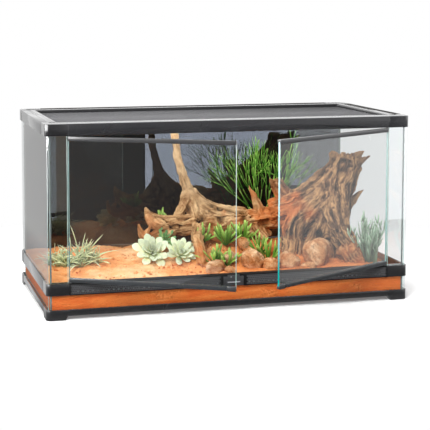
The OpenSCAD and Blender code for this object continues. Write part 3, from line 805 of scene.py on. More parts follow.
@dataclass
class Frames:
    """Black moulded frames: base with feet, middle band with its vent, top frame."""

    edge_mm: float = 0.9
    vent_edge_mm: float = 0.5
    groups: tuple[str, ...] = ("base_rail_", "base_foot_", "band_rail_", "band_corner_", "top_rail_",
                               "top_corner_")
    matt: tuple[str, ...] = ("top_rail_back", "top_rail_right")
    # the front rail and the right front corner take the lighter finish: painted light
    front: tuple[str, ...] = ("top_rail_front", "top_corner_front_right")
    body: str = "tank"
    slot: str = "frame"
    margin_mm: float = 3.0
    guide_mm: float = 8.0
    lip_mm: float = 3.0
    hole_pitch_mm: float = 5.6
    hole_rows: int = 5
    web_mm: float = 2.2
    sheet_mm: float = 0.9
    sink_mm: float = 0.2

    def build(self) -> None:
        """Dress every frame node and model the vent."""
        special = dict.fromkeys(self.matt, Finish.FRAME_MATT) | dict.fromkeys(self.front, Finish.FRAME_FRONT)
        for node in sorted(NODES):
            if node.startswith(self.groups):
                dress_copy(node, self.body, self.slot, special.get(node, Finish.FRAME), self.edge_mm)
        self.vent()

    def vent(self) -> None:
        """Face the band's slots with two finely perforated grilles."""
        # the slotted face behind the grilles is painted near black: painted shade in the slots
        dress_copy("band_vent_front", self.body, self.slot, Finish.SHADE, self.vent_edge_mm)
        low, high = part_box("band_vent_front")
        lock_low, lock_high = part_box("door_lock")
        runs = {"left": (low.x + self.margin_mm * MM, lock_low.x - self.guide_mm * MM),
                "right": (lock_high.x + self.guide_mm * MM, high.x - self.margin_mm * MM)}
        for side, (left, right) in runs.items():
            grille = self.grille(f"band_grille_{side}", left, right, low.y, low.z + self.lip_mm * MM,
                                 high.z - self.lip_mm * MM)
            paint(grille, Finish.VENT)
            hand_over(grille, self.body, self.slot)

    def grille(self, name: str, left: float, right: float, front: float, bottom: float,
               top: float) -> bpy.types.Object:
        """Model a thin sheet with staggered rows of holes in front of a face.

        Args:
            name: The sheet's name.
            left: Its left end.
            right: Its right end.
            front: The face that it lies on.
            bottom: Its lower edge.
            top: Its upper edge.

        Returns:
            The sheet.
        """
        count = int((right - left) / (self.hole_pitch_mm * MM))
        pitch, row = (right - left) / count, (top - bottom) / self.hole_rows
        cell = add_shape(bpy.ops.mesh.primitive_plane_add, "hole", (pitch, row, 1), size=1)
        with editing(cell):
            bpy.ops.mesh.inset(thickness=self.web_mm / 2 * MM)
            bpy.ops.mesh.delete(type="FACE")
            bpy.ops.mesh.select_all(action="SELECT")
            bpy.ops.mesh.extrude_region_move(TRANSFORM_OT_translate={"value": (0, 0, self.sheet_mm * MM)})
            bpy.ops.mesh.select_all(action="SELECT")
            bpy.ops.mesh.normals_make_consistent(inside=False)
        upright = Matrix.Rotation(math.radians(90), 4, "X")
        places = []
        for level in range(self.hole_rows):
            odd = level % 2
            for index in range(count - odd):
                spot = Vector((left + (index + 0.5 + 0.5 * odd) * pitch, front + self.sink_mm * MM,
                               bottom + (level + 0.5) * row))
                places.append(Matrix.Translation(spot) @ upright)
        sheet = spread_copies(name, cell, places)
        bpy.ops.object.shade_flat()
        return sheet


@dataclass
class Panes:
    """Glass panes with ground edges, the black film behind them and the clear seams.

    Each cut is a node, its edge finish, its free edges and the edges of which only the arrises show.
    """

    body: str = "tank"
    arris_mm: float = 0.9
    flat_from: float = 0.6
    flat_until: float = 0.9
    cuts: tuple[tuple[str, Finish, str, str], ...] = (
        ("glass_left", Finish.EDGE_CORNER, "", "-y"), ("glass_right", Finish.EDGE_CORNER, "", "-y"),
        ("glass_back", Finish.EDGE_DEEP, "-x+x", ""), ("glass_floor", Finish.EDGE_DEEP, "-x+x", ""),
        ("glass_sill_front", Finish.EDGE_PALE, "+z", ""), ("glass_strip_left", Finish.EDGE_STRIP, "", "+x"),
        ("glass_strip_right", Finish.EDGE_STRIP, "", "-x"))

    def cut(self, name: str, low: Vector, high: Vector, edge: Finish, free: str,
            lines: str = "") -> bpy.types.Object:
        """Model one pane: a slab with ground free edges; the others are bonded and stay clear.

        Args:
            name: The pane's name.
            low: Lowest corner.
            high: Highest corner.
            edge: Finish of its free edges.
            free: The free edges' directions, such as "-x+z".
            lines: Directions of edges of which only the arrises show.

        Returns:
            The pane, with its faces in the glass finish and its free edges in the edge finish.
        """
        pane = add_block(name, low, high)
        apply_modifier(pane, "BEVEL", width=self.arris_mm * MM, segments=1, limit_method="ANGLE")
        paint(pane, Finish.GLASS, edge)
        for face in pane.data.polygons:
            arris = self.flat_from < self.facing(face, lines) < self.flat_until
            face.material_index = int(arris or self.facing(face, free) > self.flat_from)
        return pane

    def facing(self, face: bpy.types.MeshPolygon, ways: str) -> float:
        """Return how far a face looks in the nearest of some directions.

        Args:
            face: The face.
            ways: The directions, such as "-x+z".

        Returns:
            From -1 to 1, or 0 without directions.
        """
        signs = {"+": 1, "-": -1}
        looks = (signs[sign] * face.normal["xyz".index(axis)] for sign, axis in zip(ways[::2], ways[1::2]))
        return max(looks, default=0)

    def build(self) -> None:
        """Model every fixed pane, the film and the seams."""
        for node, edge, free, lines in self.cuts:
            hand_over(self.cut(f"{node}_ground", *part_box(node), edge, free, lines), self.body, "pane", node)
        paint(NODES["background_film"], Finish.FILM)
        paint(NODES["silicone_seams"], Finish.SEALANT)


class Side(Enum):
    """A side of the tank, with its sign along X."""

    LEFT = -1
    RIGHT = 1


@dataclass
class Door:
    """Frameless glass door between two plastic rails, hung on steel pins."""

    side: Side
    edge: Finish
    edge_mm: float = 0.8
    fittings: tuple[tuple[str, str, Finish], ...] = (
        ("top_rail", "frame", Finish.RAIL), ("bottom_rail", "frame", Finish.RAIL_LOW),
        ("catch", "latch", Finish.LATCH))

    def build(self, panes: Panes) -> None:
        """Model the door's pane and dress its rails, catch and pins.

        Args:
            panes: Cuts the pane.
        """
        name = f"{self.side.name.lower()}_door"
        joint = JOINTS[f"{name}_hinge"]
        ajar = math.radians(-joint["range_deg"][0]) * self.side.value
        place = Matrix.Translation(Vector(joint["pos_m"])) @ Matrix.Rotation(ajar, 4, "Z")
        shut = np.array([place.inverted() @ v.co for v in NODES[f"{name}_glass"].data.vertices])
        low, high = Vector(shut.min(0)), Vector(shut.max(0))
        pane = panes.cut(f"{name}_glass_ground", low, high, self.edge, "+x-x+z-z")
        pane.data.materials.append(Finish.EDGE_HINGE.material())
        # the hinge edge gets the darker edge finish: painted shade
        for face in pane.data.polygons:
            if face.material_index and face.normal.x * self.side.value > panes.flat_from:
                face.material_index = 2
        pane.data.transform(place)
        hand_over(pane, name, "pane", f"{name}_glass")
        for part, slot, finish in self.fittings:
            dress_copy(f"{name}_{part}", name, slot, finish, self.edge_mm)
        paint(NODES[f"{name}_hinge_pins"], Finish.STEEL)


@dataclass
class Lock:
    """Sliding door lock in the band: its plate and two painted highlights, a pale line on the grip and a dot.
    """

    name: str = "door_lock"
    edge_mm: float = 0.5
    line_mm: tuple[float, float, float] = (31.0, 0.6, 2.0)
    line_level_mm: float = 68.3
    dot_mm: tuple[float, float, float] = (-6.5, 80.6, 1.3)
    dot_sink_mm: float = 2.0

    def build(self) -> None:
        """Dress the plate and model its two painted highlights."""
        dress_copy(self.name, self.name, "latch", Finish.LATCH, self.edge_mm)
        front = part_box(self.name)[0].y
        wide, deep, tall = (value * MM for value in self.line_mm)
        start = Vector((-wide / 2, front - deep / 2, self.line_level_mm * MM - tall / 2))
        line = add_block("door_lock_line", start, start + Vector((wide, deep, tall)))
        x, z, radius = (value * MM for value in self.dot_mm)
        dot = add_shape(bpy.ops.mesh.primitive_cylinder_add, "door_lock_dot", vertices=24, radius=radius,
                        depth=deep, location=(x, front + self.dot_sink_mm * MM, z),
                        rotation=(math.radians(90), 0, 0))
        marks = join("door_lock_marks", [line, dot])
        # the line and the dot are painted highlights on the grip ridge and near the plate's top
        paint(marks, Finish.MARK)
        hand_over(marks, self.name, "latch")


@dataclass
class Cover:
    """Lift-out screen cover: moulded frame, wire mesh and two sliding locks."""

    edge_mm: float = 0.9
    lock_edge_mm: float = 0.5
    wire_mm: float = 0.5
    pitch_mm: float = 2.0

    def build(self) -> None:
        """Dress the frame and locks and lay the wires."""
        dress_copy("cover_frame", "cover", "frame", Finish.FRAME, self.edge_mm)
        for lock in ("cover_lock_left", "cover_lock_right"):
            dress_copy(lock, lock, "latch", Finish.LATCH, self.lock_edge_mm)
        low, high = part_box("cover_mesh")
        offset = self.wire_mm / 4 * MM
        layers = [self.wires(name, low, high, (low.z + high.z) / 2 + shift, along)
                  for name, shift, along in (("warp", -offset, 0), ("weft", offset, 1))]
        mesh = join("cover_mesh_woven", layers)
        paint(mesh, Finish.WIRE)
        mesh.visible_shadow = False  # its shadow is far finer than a pixel
        hand_over(mesh, "cover", "mesh", "cover_mesh")

    def wires(self, name: str, low: Vector, high: Vector, height: float, along: int) -> bpy.types.Object:
        """Lay parallel wires over the opening.

        Args:
            name: The object's name.
            low: Lowest corner of the opening.
            high: Highest corner of the opening.
            height: Height of the wires' middle.
            along: Axis that they run along, 0 or 1.

        Returns:
            All the wires as one object.
        """
        across = 1 - along
        reach = Vector([self.wire_mm / 2 * MM] * 3)
        reach[along] = (high[along] - low[along]) / 2
        width = high[across] - low[across]
        count = int(width / (self.pitch_mm * MM)) - 1
        places = []
        for index in range(count):
            spot = (low + high) / 2
            spot[across] = low[across] + (index + 1) * width / (count + 1)
            spot.z = height
            places.append(Matrix.Translation(spot))
        return spread_copies(name, add_block("wire", -reach, reach), places)


# ---------------------------------------------------------------- stones and ground

def stone(name: str, middle: Sequence[float], size: Sequence[float], seed: int, levels: int = 4,
          cuts: int = 9) -> bpy.types.Object:
    """Model one worn stone.

    Args:
        name: The stone's name.
        middle: Its middle in millimetres.
        size: Its half sizes in millimetres.
        seed: Seed of its shape.
        levels: How finely it is divided.
        cuts: How many flats it has.

    Returns:
        The stone.
    """
    obj = add_shape(bpy.ops.mesh.primitive_ico_sphere_add, name, subdivisions=levels, radius=1)
    points = points_of(obj)
    rng = np.random.default_rng(seed)
    for _ in range(cuts):
        facing = rng.normal(size=3)
        facing /= np.linalg.norm(facing)
        over = np.clip(points @ facing - rng.uniform(0.68, 0.92), 0, None)
        points -= over[:, None] * facing * 0.9
    swell = 1 + 0.12 * cloud(points * 1.7 + seed, seed, 3) + 0.045 * cloud(points * 6 + seed, seed + 5, 3)
    turn = Matrix.Rotation(seed * 37 * math.pi / 180, 3, "Z")
    set_points(obj, (points * swell[:, None] * np.array(size) @ np.array(turn).T + np.array(middle)) * MM)
    return shade(obj)


@dataclass
class SandBed:
    """Sand from the floor pane up to its rolling surface, with clods and pebbles.

    Each heap is its middle, height and half size.
    """

    level_mm: float = 83.0
    cells: tuple[int, int] = (360, 190)
    band_top_mm: float = 58.0
    band_back_mm: float = -202.7
    heaps: tuple[tuple[float, ...], ...] = (
        (55, 15, 44, 120, 90), (250, -20, 24, 120, 110), (-350, 150, 10, 90, 80), (-120, 30, 10, 70, 70),
        (440, -120, -16, 60, 160))
    lumps_mm: float = 3.4
    ripples_mm: float = 2.6
    smooth_deg: float = 60
    kinds: int = 5
    clods_each: int = 330
    clod_half: tuple[float, float, float] = (1.0, 0.86, 0.7)
    seed: int = 4

    def smooth(self, x: np.ndarray, y: np.ndarray) -> np.ndarray:
        """Return the height of the sand without its lumps.

        Args:
            x: Places along X in millimetres.
            y: Places along Y in millimetres.

        Returns:
            The height at each place in millimetres.
        """
        level = (self.level_mm + 1.6 * np.sin(np.radians(x * 1.9 + 40)) * np.cos(np.radians(y * 2.3))
                 + 1.1 * np.sin(np.radians(x * 4.1 + y * 3.3)))
        for at_x, at_y, tall, half_x, half_y in self.heaps:
            level = level + tall * np.exp(-((x - at_x) / half_x) ** 2 - ((y - at_y) / half_y) ** 2)
        return level

    def height(self, x: float, y: float) -> float:
        """Return the height of the sand at one place, all in millimetres."""
        return float(self.smooth(np.array([x]), np.array([y]))[0])

    def build(self) -> None:
        """Model the bed and its loose clods."""
        low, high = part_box("sand_bed")
        across, deep = self.cells
        middle, size = (low + high) / 2, high - low
        bed = add_shape(bpy.ops.mesh.primitive_grid_add, "sand_bed_loose", (size.x, size.y, 1), size=1,
                        x_subdivisions=across, y_subdivisions=deep, location=(middle.x, middle.y, 0))
        with editing(bed):
            bpy.ops.mesh.extrude_region_move(TRANSFORM_OT_translate={"value": (0, 0, -1)})
            bpy.ops.mesh.dissolve_faces()
            bpy.ops.mesh.select_all(action="SELECT")
            bpy.ops.mesh.normals_make_consistent(inside=False)
        points = points_of(bed)
        x, y = points[:, 0] / MM, points[:, 1] / MM
        spots = np.column_stack([x, y, np.zeros(len(x))])
        level = (self.smooth(x, y) + self.lumps_mm * cloud(spots / 46, self.seed, 5, 0.6)
                 + self.ripples_mm * np.abs(cloud(spots / 17, 8, 3, 0.6)))
        level = np.where(y < self.band_back_mm, self.band_top_mm, level)
        points[:, 2] = np.where(points[:, 2] > -0.5, level * MM, low.z)
        set_points(bed, points)
        # painted shade on the bed, kept as a mark
        set_mark(bed, "damp", self.damp(x, y))
        paint(shade(bed, self.smooth_deg), Finish.SAND)
        hand_over(bed, "tank", "sand", "sand_bed")
        rng = random.Random(self.seed)
        hand_over(join("sand_clods", [self.clods(kind, rng) for kind in range(self.kinds)]), "tank", "sand")

    def damp(self, x: np.ndarray, y: np.ndarray) -> np.ndarray:
        """Return the painted shade on the sand: darker on the right, at the back, at the left end and by the
        tuft.

        Args:
            x: Places along X in millimetres.
            y: Places along Y in millimetres.

        Returns:
            The darkness at each place.
        """
        right = np.clip((x + 150) / 300, 0, 1)
        behind = np.clip((y - 60) / 90, 0, 1)
        round_tuft = np.exp(-((x + 340) / 80) ** 2 - ((y - 10) / 60) ** 2)
        left = np.clip((-190 - x) / 160, 0, 1)
        return 0.02 + 0.42 * right + 0.09 * left + 0.10 * behind + 0.30 * round_tuft

    def clods(self, kind: int, rng: random.Random) -> bpy.types.Object:
        """Model the clods and pebbles of one shape that lie on the sand.

        Args:
            kind: The shape's number; a higher one is darker.
            rng: Source of the random draws.

        Returns:
            The clods.
        """
        places = []
        for _ in range(self.clods_each):
            if rng.random() < 0.3:
                x, y = rng.gauss(-330, 70), rng.gauss(12, 50)
            elif rng.random() < 0.6:
                x, y = rng.gauss(-90, 90), rng.gauss(-70, 70)
            else:
                x, y = rng.uniform(-430, 430), rng.uniform(-198, 205)
            if not (-432 < x < 432 and -197 < y < 206):
                continue
            size = rng.uniform(0.8, 2.6) * (1.9 if rng.random() < 0.14 else 1)
            places.append(Matrix.Translation(Vector((x, y, self.height(x, y) + size * 0.3)) * MM)
                          @ Matrix.Rotation(rng.uniform(0, 6.28), 4, "Z")
                          @ Matrix.Rotation(rng.uniform(0, 6.28), 4, "X") @ Matrix.Scale(size, 4))
        master = stone(f"clod_{kind}", (0, 0, 0), self.clod_half, 40 + kind, 2, 6)
        clods = spread_copies(f"clods_{kind}", master, places)
        set_mark(clods, "damp", np.full(len(clods.data.vertices), 0.04 + 0.11 * kind))
        paint(clods, Finish.SAND)
        return clods


# ---------------------------------------------------------------- driftwood

@dataclass(frozen=True)
class Limb:
    """One limb of driftwood: stations of x, y, z and radius in millimetres, and its fluting."""

    stations: tuple[tuple[float, float, float, float], ...]
    flutes: int = 5
    depth: float = 0.12
    twist: float = 1.4
    sides: int = 28
    step_mm: float = 6.0

    def path(self) -> np.ndarray:
        """Return rows of x, y, z and radius along the limb."""
        return curve_through(np.array(self.stations, float), self.step_mm)

    def tube(self, name: str, seed: int) -> bpy.types.Object:
        """Model the limb as a closed fluted tube.

        Args:
            name: The object's name.
            seed: Turns its flutes.

        Returns:
            The tube.
        """
        rows = self.path()
        length = frames_along(rows[:, :3])[3]
        turn = around(self.sides)
        phase = turn[None, :] * self.flutes + self.twist * length[:, None] / 60 + seed
        ring = rows[:, 3][:, None] * (1 + self.depth * (np.cos(phase) + 0.6 * np.cos(phase * 1.7 + 2 * seed)))
        points = rings_along(rows[:, :3], ring * np.cos(turn), ring * np.sin(turn))
        return from_arrays(name, points * MM, tube_faces(len(rows), self.sides))


@dataclass(frozen=True)
class Pit:
    """A round place on the wood: its middle, radius and depth in millimetres, or its strength from 0 to 1."""

    middle: tuple[float, float, float]
    radius: float
    depth: float

    def reach(self, points: np.ndarray) -> np.ndarray:
        """Return how many radii points lie from the middle."""
        return np.linalg.norm(points - np.array(self.middle), axis=1) / self.radius

    def ragged(self, points: np.ndarray, edge: float, lump_mm: float, seed: int) -> np.ndarray:
        """Return the strength of a patch with a ragged edge.

        Args:
            points: Rows of x, y, z in millimetres.
            edge: How many radii out its edge lies.
            lump_mm: Size of the lumps in its edge.
            seed: Seed of the lumps.

        Returns:
            The strength at each point.
        """
        return self.depth * np.clip(edge - self.reach(points) + 0.5 * cloud(points / lump_mm, seed), 0, 1)


@dataclass
class Driftwood:
    """Weathered wood made of limbs grown together, with grain, checks and hollows."""

    node: str
    finish: Finish
    limbs: tuple[Limb, ...]
    pits: tuple[Pit, ...] = ()
    dusty: tuple[Pit, ...] = ()
    pale_and_lit: tuple[Pit, ...] = ()
    voxel_mm: float = 1.9
    ridge_mm: float = 2.7
    fibre_mm: float = 1.9
    rough_mm: float = 1.6
    check_mm: float = 6.5
    seed: int = 3

    def build(self) -> None:
        """Grow the limbs together, then carve the grain."""
        tubes = [limb.tube(f"limb_{i}", i) for i, limb in enumerate(self.limbs)]
        wood = join(f"{self.node}_weathered", tubes)
        apply_modifier(wood, "REMESH", mode="VOXEL", voxel_size=self.voxel_mm * MM)
        apply_modifier(wood, "SMOOTH", factor=0.6, iterations=6)
        self.carve(wood)
        paint(shade(wood), self.finish)
        hand_over(wood, "tank", "driftwood", self.node)

    def grain(self, points: np.ndarray) -> tuple[np.ndarray, np.ndarray, np.ndarray]:
        """Find the grain of the wood.

        Args:
            points: Rows of x, y, z in millimetres.

        Returns:
            The height of the ridges, the share of open checks and the grain's direction at each point.
        """
        total, height, split = np.zeros(len(points)), np.zeros(len(points)), np.zeros(len(points))
        best, grain = np.full(len(points), 1e9), np.zeros((len(points), 3))
        wander = 13 * cloud(points / 56, self.seed + 60, 3)
        for index, limb in enumerate(self.limbs):
            rows = limb.path()
            tangent, first, second, length = frames_along(rows[:, :3])
            gap = ((points[:, None, :] - rows[None, :, :3]) ** 2).sum(2)
            near = gap.argmin(1)
            offset = points - rows[near, :3]
            u, v = (offset * first[near]).sum(1) + wander, (offset * second[near]).sum(1) - wander
            along = length[near] + (offset * tangent[near]).sum(1) + 400 * index
            far = np.sqrt(gap.min(1)) / rows[near, 3]

            def streaks(width: float, run: float, seed: int, octaves: int) -> np.ndarray:
                """Return noise that is stretched along this limb."""
                spots = np.column_stack([u / width, v / width, along / run])
                return np.abs(cloud(spots, self.seed + seed, octaves))

            weight = 1 / (far ** 8 + 1e-4)
            thick = np.clip(rows[near, 3] / 20, 0.32, 1)
            ridge, fine = 1 - streaks(11, 105, 0, 3) * 1.6, 1 - streaks(4.2, 48, 9, 2) * 1.6
            total += weight
            height += weight * thick * (self.ridge_mm * (ridge - 0.55) + self.fibre_mm * (fine - 0.55))
            split += weight * thick * np.clip(1 - streaks(17, 190, 21, 2) / 0.07, 0, 1)
            closer = far < best
            best = np.where(closer, far, best)
            grain[closer] = np.column_stack([u, v, along / 7])[closer]
        return height / total, split / total, grain

    def carve(self, wood: bpy.types.Object) -> None:
        """Press grain, checks and hollows into the wood and mark them for the finish, with painted shade in
        the checks and hollows and painted light on pale patches.

        Args:
            wood: The wood.
        """
        points = points_of(wood) / MM
        normals = np.zeros(len(points) * 3, np.float32)
        wood.data.vertex_normals.foreach_get("vector", normals)
        normals = normals.reshape(-1, 3)
        height, split, grain = self.grain(points)
        rough = self.rough_mm * cloud(points / 15, self.seed + 40, 4, 0.6)
        # lighter on the ridges, darker in the checks: the wood's tone and painted shade
        groove = np.clip(0.56 + height / 8.0 + rough / 12 - 0.6 * split, 0, 1)
        sink = height + rough - self.check_mm * split
        for pit in self.pits:
            hole = np.exp(-pit.reach(points) ** 4)
            sink -= pit.depth * hole
            # hollows are painted darker: painted shade
            groove *= 1 - 0.9 * hole
        set_points(wood, (points + normals * sink[:, None]) * MM)
        dust = np.clip((112 - points[:, 2] + 30 * cloud(points / 38, self.seed + 50)) / 46, 0, 1)
        dust *= np.clip(0.55 + 0.6 * normals[:, 2], 0, 1)
        for spot in self.dusty:
            dust = np.maximum(dust, spot.ragged(points, 1.25, 22, 5))
        # pale patches: painted light on the upright trunk and the log's top, and paler tan wood
        bleach = np.zeros(len(points))
        for spot in self.pale_and_lit:
            bleach = np.maximum(bleach, spot.ragged(points, 1.4, 26, 6))
        marks = {"groove": groove, "dust": np.clip(dust, 0, 0.8), "bleach": bleach, "grain": grain * MM}
        for key, values in marks.items():
            set_mark(wood, key, values)


def stump() -> Driftwood:
    """Return the leaning stump with its roots, shoulder, jagged top and spurs."""
    return Driftwood("driftwood_stump", Finish.STUMP, (
        Limb(((345, -165, 74, 20), (325, -138, 123, 26), (312, -110, 157, 30), (312, -78, 195, 38),
              (326, -45, 255, 44), (344, -42, 300, 40), (352, -40, 334, 30)), 7, 0.15),
        Limb(((192, -75, 82, 24), (203, -65, 120, 27), (212, -58, 160, 30), (250, -48, 200, 36),
              (305, -45, 240, 40)), 6, 0.17),
        Limb(((280, -112, 76, 24), (282, -88, 130, 30), (300, -62, 190, 36)), 6, 0.16),
        Limb(((165, 0, 200, 22), (205, -15, 212, 28), (245, -28, 232, 30), (290, -32, 262, 31),
              (335, -36, 300, 29)), 5, 0.16),
        Limb(((340, -40, 316, 27), (326, -35, 338, 14), (317, -33, 350, 6)), 4, 0.14),
        Limb(((344, -44, 322, 20), (346, -46, 340, 10), (345, -47, 350, 4)), 3, 0.12),
        Limb(((354, -42, 320, 24), (380, -48, 337, 12), (394, -51, 347, 6), (405, -53, 353, 2)), 4, 0.16),
        Limb(((360, -45, 304, 23), (392, -50, 325, 10), (408, -53, 335, 5), (419, -54, 339, 1.8)), 4, 0.16),
        Limb(((358, -44, 280, 24), (384, -48, 298, 9), (398, -50, 309, 3)), 4, 0.16),
        Limb(((350, -44, 258, 22), (370, -47, 272, 9), (380, -49, 285, 3)), 4, 0.16),
        Limb(((350, -42, 203, 16), (372, -42, 222, 11), (392, -42, 239, 6), (408, -42, 251, 1.8)), 4, 0.12),
        Limb(((352, -44, 212, 12), (372, -46, 214, 6), (384, -47, 222, 2)), 4, 0.12),
        Limb(((215, -5, 222, 24), (194, 0, 252, 18), (184, 0, 270, 16), (180, 0, 277, 11)), 5, 0.18),
        Limb(((198, -2, 250, 12), (174, 0, 270, 8), (164, 0, 281, 3)), 3, 0.14),
        Limb(((300, -80, 200, 20), (270, -92, 172, 16), (245, -96, 140, 14), (236, -98, 110, 12)), 4, 0.16),
        Limb(((330, -92, 210, 16), (322, -116, 178, 14), (316, -134, 140, 13), (300, -142, 100, 10)),
             4, 0.16)),
        pits=(Pit((338, -84, 312), 13, 18), Pit((330, -86, 298), 10, 20), Pit((324, -88, 282), 9, 20),
              Pit((318, -90, 266), 8, 16), Pit((372, -78, 262), 10, 12),
              Pit((376, -80, 296), 8, 10), Pit((362, -82, 240), 9, 10), Pit((262, -100, 152), 12, 13),
              Pit((250, -104, 122), 12, 13), Pit((302, -140, 132), 9, 9), Pit((340, -100, 190), 9, 8),
              Pit((232, -72, 182), 10, 7), Pit((330, -150, 100), 10, 10), Pit((310, -84, 262), 8, 8)),
        dusty=(Pit((190, -20, 205), 58, 0.95), Pit((240, -52, 205), 34, 0.6), Pit((326, -158, 120), 24, 0.55),
               Pit((170, 0, 258), 26, 0.4)), seed=5)


def branch() -> Driftwood:
    """Return the fallen branch with its prongs, upright trunk and prop root."""
    return Driftwood("driftwood_branch", Finish.BRANCH, (
        Limb(((-160, 20, 217, 3), (-155, 20, 204, 8), (-146, 20, 186, 14), (-128, 22, 172, 18),
              (-100, 24, 166, 20), (-30, 32, 166, 26), (60, 28, 168, 25), (140, 26, 174, 26),
              (205, 12, 182, 28)), 6, 0.17),
        Limb(((-150, 20, 202, 6), (-130, 24, 188, 10), (-104, 27, 180, 12), (-60, 32, 178, 15)), 4, 0.2),
        Limb(((-181, 8, 177, 3), (-177, 8, 162, 7), (-168, 8, 146, 10), (-150, 9, 141, 13),
              (-128, 10, 146, 16), (-90, 18, 156, 20)), 5, 0.17),
        Limb(((-162, 6, 150, 8), (-154, 2, 166, 4), (-150, 0, 178, 1.8)), 3, 0.14),
        Limb(((-140, 6, 144, 9), (-134, 0, 126, 6), (-122, -4, 112, 3)), 4, 0.14),
        Limb(((-118, 8, 150, 12), (-104, -8, 132, 8), (-96, -14, 116, 5)), 4, 0.14),
        Limb(((-16, 44, 182, 29), (-28, 50, 214, 20), (-38, 58, 248, 14.5), (-54, 69, 304, 11),
              (-64, 74, 348, 9.5), (-73, 76, 424, 8.5)), 6, 0.12),
        Limb(((-36, 56, 250, 15), (-52, 46, 218, 13), (-68, 38, 192, 12), (-78, 34, 178, 10)), 4, 0.16),
        Limb(((-34, 56, 246, 16), (-8, 46, 220, 16), (26, 34, 203, 16), (66, 27, 194, 17), (94, 24, 194, 15),
              (110, 22, 190, 8)), 4, 0.12),
        Limb(((-46, -60, 150, 14), (-48, -100, 112, 12), (-42, -122, 68, 13)), 5, 0.18),
        Limb(((-20, 10, 160, 20), (-46, -60, 150, 14)), 5, 0.16),
        Limb(((146, 22, 184, 18), (138, 20, 210, 12), (127, 20, 236, 7), (118, 20, 252, 3.5),
              (114, 20, 263, 1.5)), 4, 0.16),
        Limb(((120, 30, 176, 22), (150, 20, 120, 26)), 5, 0.16),
        Limb(((-10, 22, 150, 14), (20, -12, 136, 12), (60, -34, 122, 10)), 4, 0.18)),
        pits=(Pit((-20, 6, 182), 12, 7), Pit((36, 2, 184), 13, 9), Pit((96, 4, 176), 10, 7),
              Pit((150, 0, 170), 14, 11), Pit((-96, 6, 168), 9, 6), Pit((184, -14, 160), 12, 10)),
        dusty=(Pit((-164, 10, 160), 40, 0.55), Pit((176, 0, 190), 56, 0.9), Pit((-56, -100, 110), 44, 0.6),
               Pit((60, -20, 140), 50, 0.75), Pit((120, 20, 236), 30, 0.7)),
        # pale patches of painted light on the upright trunk and along the log's top
        pale_and_lit=(Pit((-66, 76, 410), 46, 0.9), Pit((-58, 73, 360), 44, 0.9), Pit((-50, 70, 310), 44, 0.85),
                  Pit((-38, 60, 262), 36, 0.7), Pit((-4, 40, 216), 34, 0.5), Pit((60, 28, 200), 34, 0.55)))


@dataclass
class Rocks:
    """Sandstone rocks in front of the driftwood: the middle, half sizes and seed of each."""

    places: tuple[tuple[tuple[float, float, float], tuple[float, float, float], int], ...] = (
        ((-30, -170, 92), (31, 20, 21), 1), ((72, -146, 104), (38, 30, 33), 2),
        ((110, -176, 93), (24, 16, 20), 15), ((162, -168, 99), (31, 22, 27), 4),
        ((238, -156, 109), (39, 30, 42), 5), ((22, -112, 104), (24, 20, 18), 6),
        ((72, -62, 128), (22, 18, 17), 7), ((4, -180, 84), (22, 14, 13), 8),
        ((205, -182, 86), (20, 12, 12), 9), ((62, 0, 132), (30, 24, 20), 10))

    def build(self) -> None:
        """Model the rocks as one piece."""
        stones = [stone(f"rock_{i}", *place) for i, place in enumerate(self.places)]
        pile = join("rocks_worn", stones)
        paint(pile, Finish.ROCK)
        hand_over(pile, "tank", "rock", "rocks")


# ---------------------------------------------------------------- plants

@dataclass(frozen=True)
class Strand:
    """One shoot or blade: its path and radii in millimetres, its brightness, and its depth over its width."""

    path: np.ndarray
    radius: np.ndarray
    shade: float = 1.0
    flat: float = 1.0


def bend_path(foot: Sequence[float], heading: float, lean: float, length: float, bend: float,
              rings: int = 10, sway: float = 0.0) -> np.ndarray:
    """Return a bending path.

    Args:
        foot: Where it starts, in millimetres.
        heading: Compass direction that it leans towards, in degrees from +X.
        lean: Lean from upright at its foot, in degrees.
        length: Its length in millimetres.
        bend: How much the lean grows towards its tip, in degrees.
        rings: How many points it has.
        sway: How much the heading turns on the way, in degrees.

    Returns:
        Rows of x, y, z in millimetres.
    """
    t = np.linspace(0, 1, rings)
    tilt = np.radians(lean + bend * t)
    head = np.radians(heading + sway * t)
    steps = np.column_stack([np.sin(tilt) * np.cos(head), np.sin(tilt) * np.sin(head), np.cos(tilt)])
    return np.array(foot) + np.vstack([np.zeros(3), np.cumsum(steps[:-1], axis=0)]) * length / (rings - 1)


def sweep(name: str, strands: Sequence[Strand], sides: int) -> bpy.types.Object:
    """Model strands as tapering tubes in one mesh.

    Args:
        name: The object's name.
        strands: The strands.
        sides: How many sides each has.

    Returns:
        The object, with how far out each point is in "out" and its brightness in "shade".
    """
    points, faces, out, light = [], [], [], []
    turn = around(sides)
    for strand in strands:
        rings = len(strand.path)
        wide = strand.radius[:, None] * np.cos(turn)
        deep = strand.radius[:, None] * np.sin(turn) * strand.flat
        faces += tube_faces(rings, sides, sum(map(len, points)))
        points.append(rings_along(strand.path, wide, deep))
        out.append(np.repeat(np.linspace(0, 1, rings), sides))
        light.append(np.full(rings * sides, strand.shade))
    return shade(from_arrays(name, np.vstack(points) * MM, faces,
                             {"out": np.concatenate(out), "shade": np.concatenate(light)}))


def taper(rings: int, wide: float, foot: float = 0.7, swell: float = 0.4, tip: float = 0.12) -> np.ndarray:
    """Return radii that swell from the foot and end in a narrow tip.

    Args:
        rings: How many radii there are.
        wide: The largest radius.
        foot: The first one, as a share of the largest.
        swell: How far along the largest is, from 0 to 1.
        tip: The last one, as a share of the largest.

    Returns:
        The radii.
    """
    t = np.linspace(0, 1, rings)
    rise = foot + (1 - foot) * np.clip(t / swell, 0, 1)
    fall = np.sqrt(np.clip(1 - np.clip((t - swell) / (1 - swell), 0, 1) ** 2.4, 0, 1))
    return wide * np.maximum(rise * fall, tip)


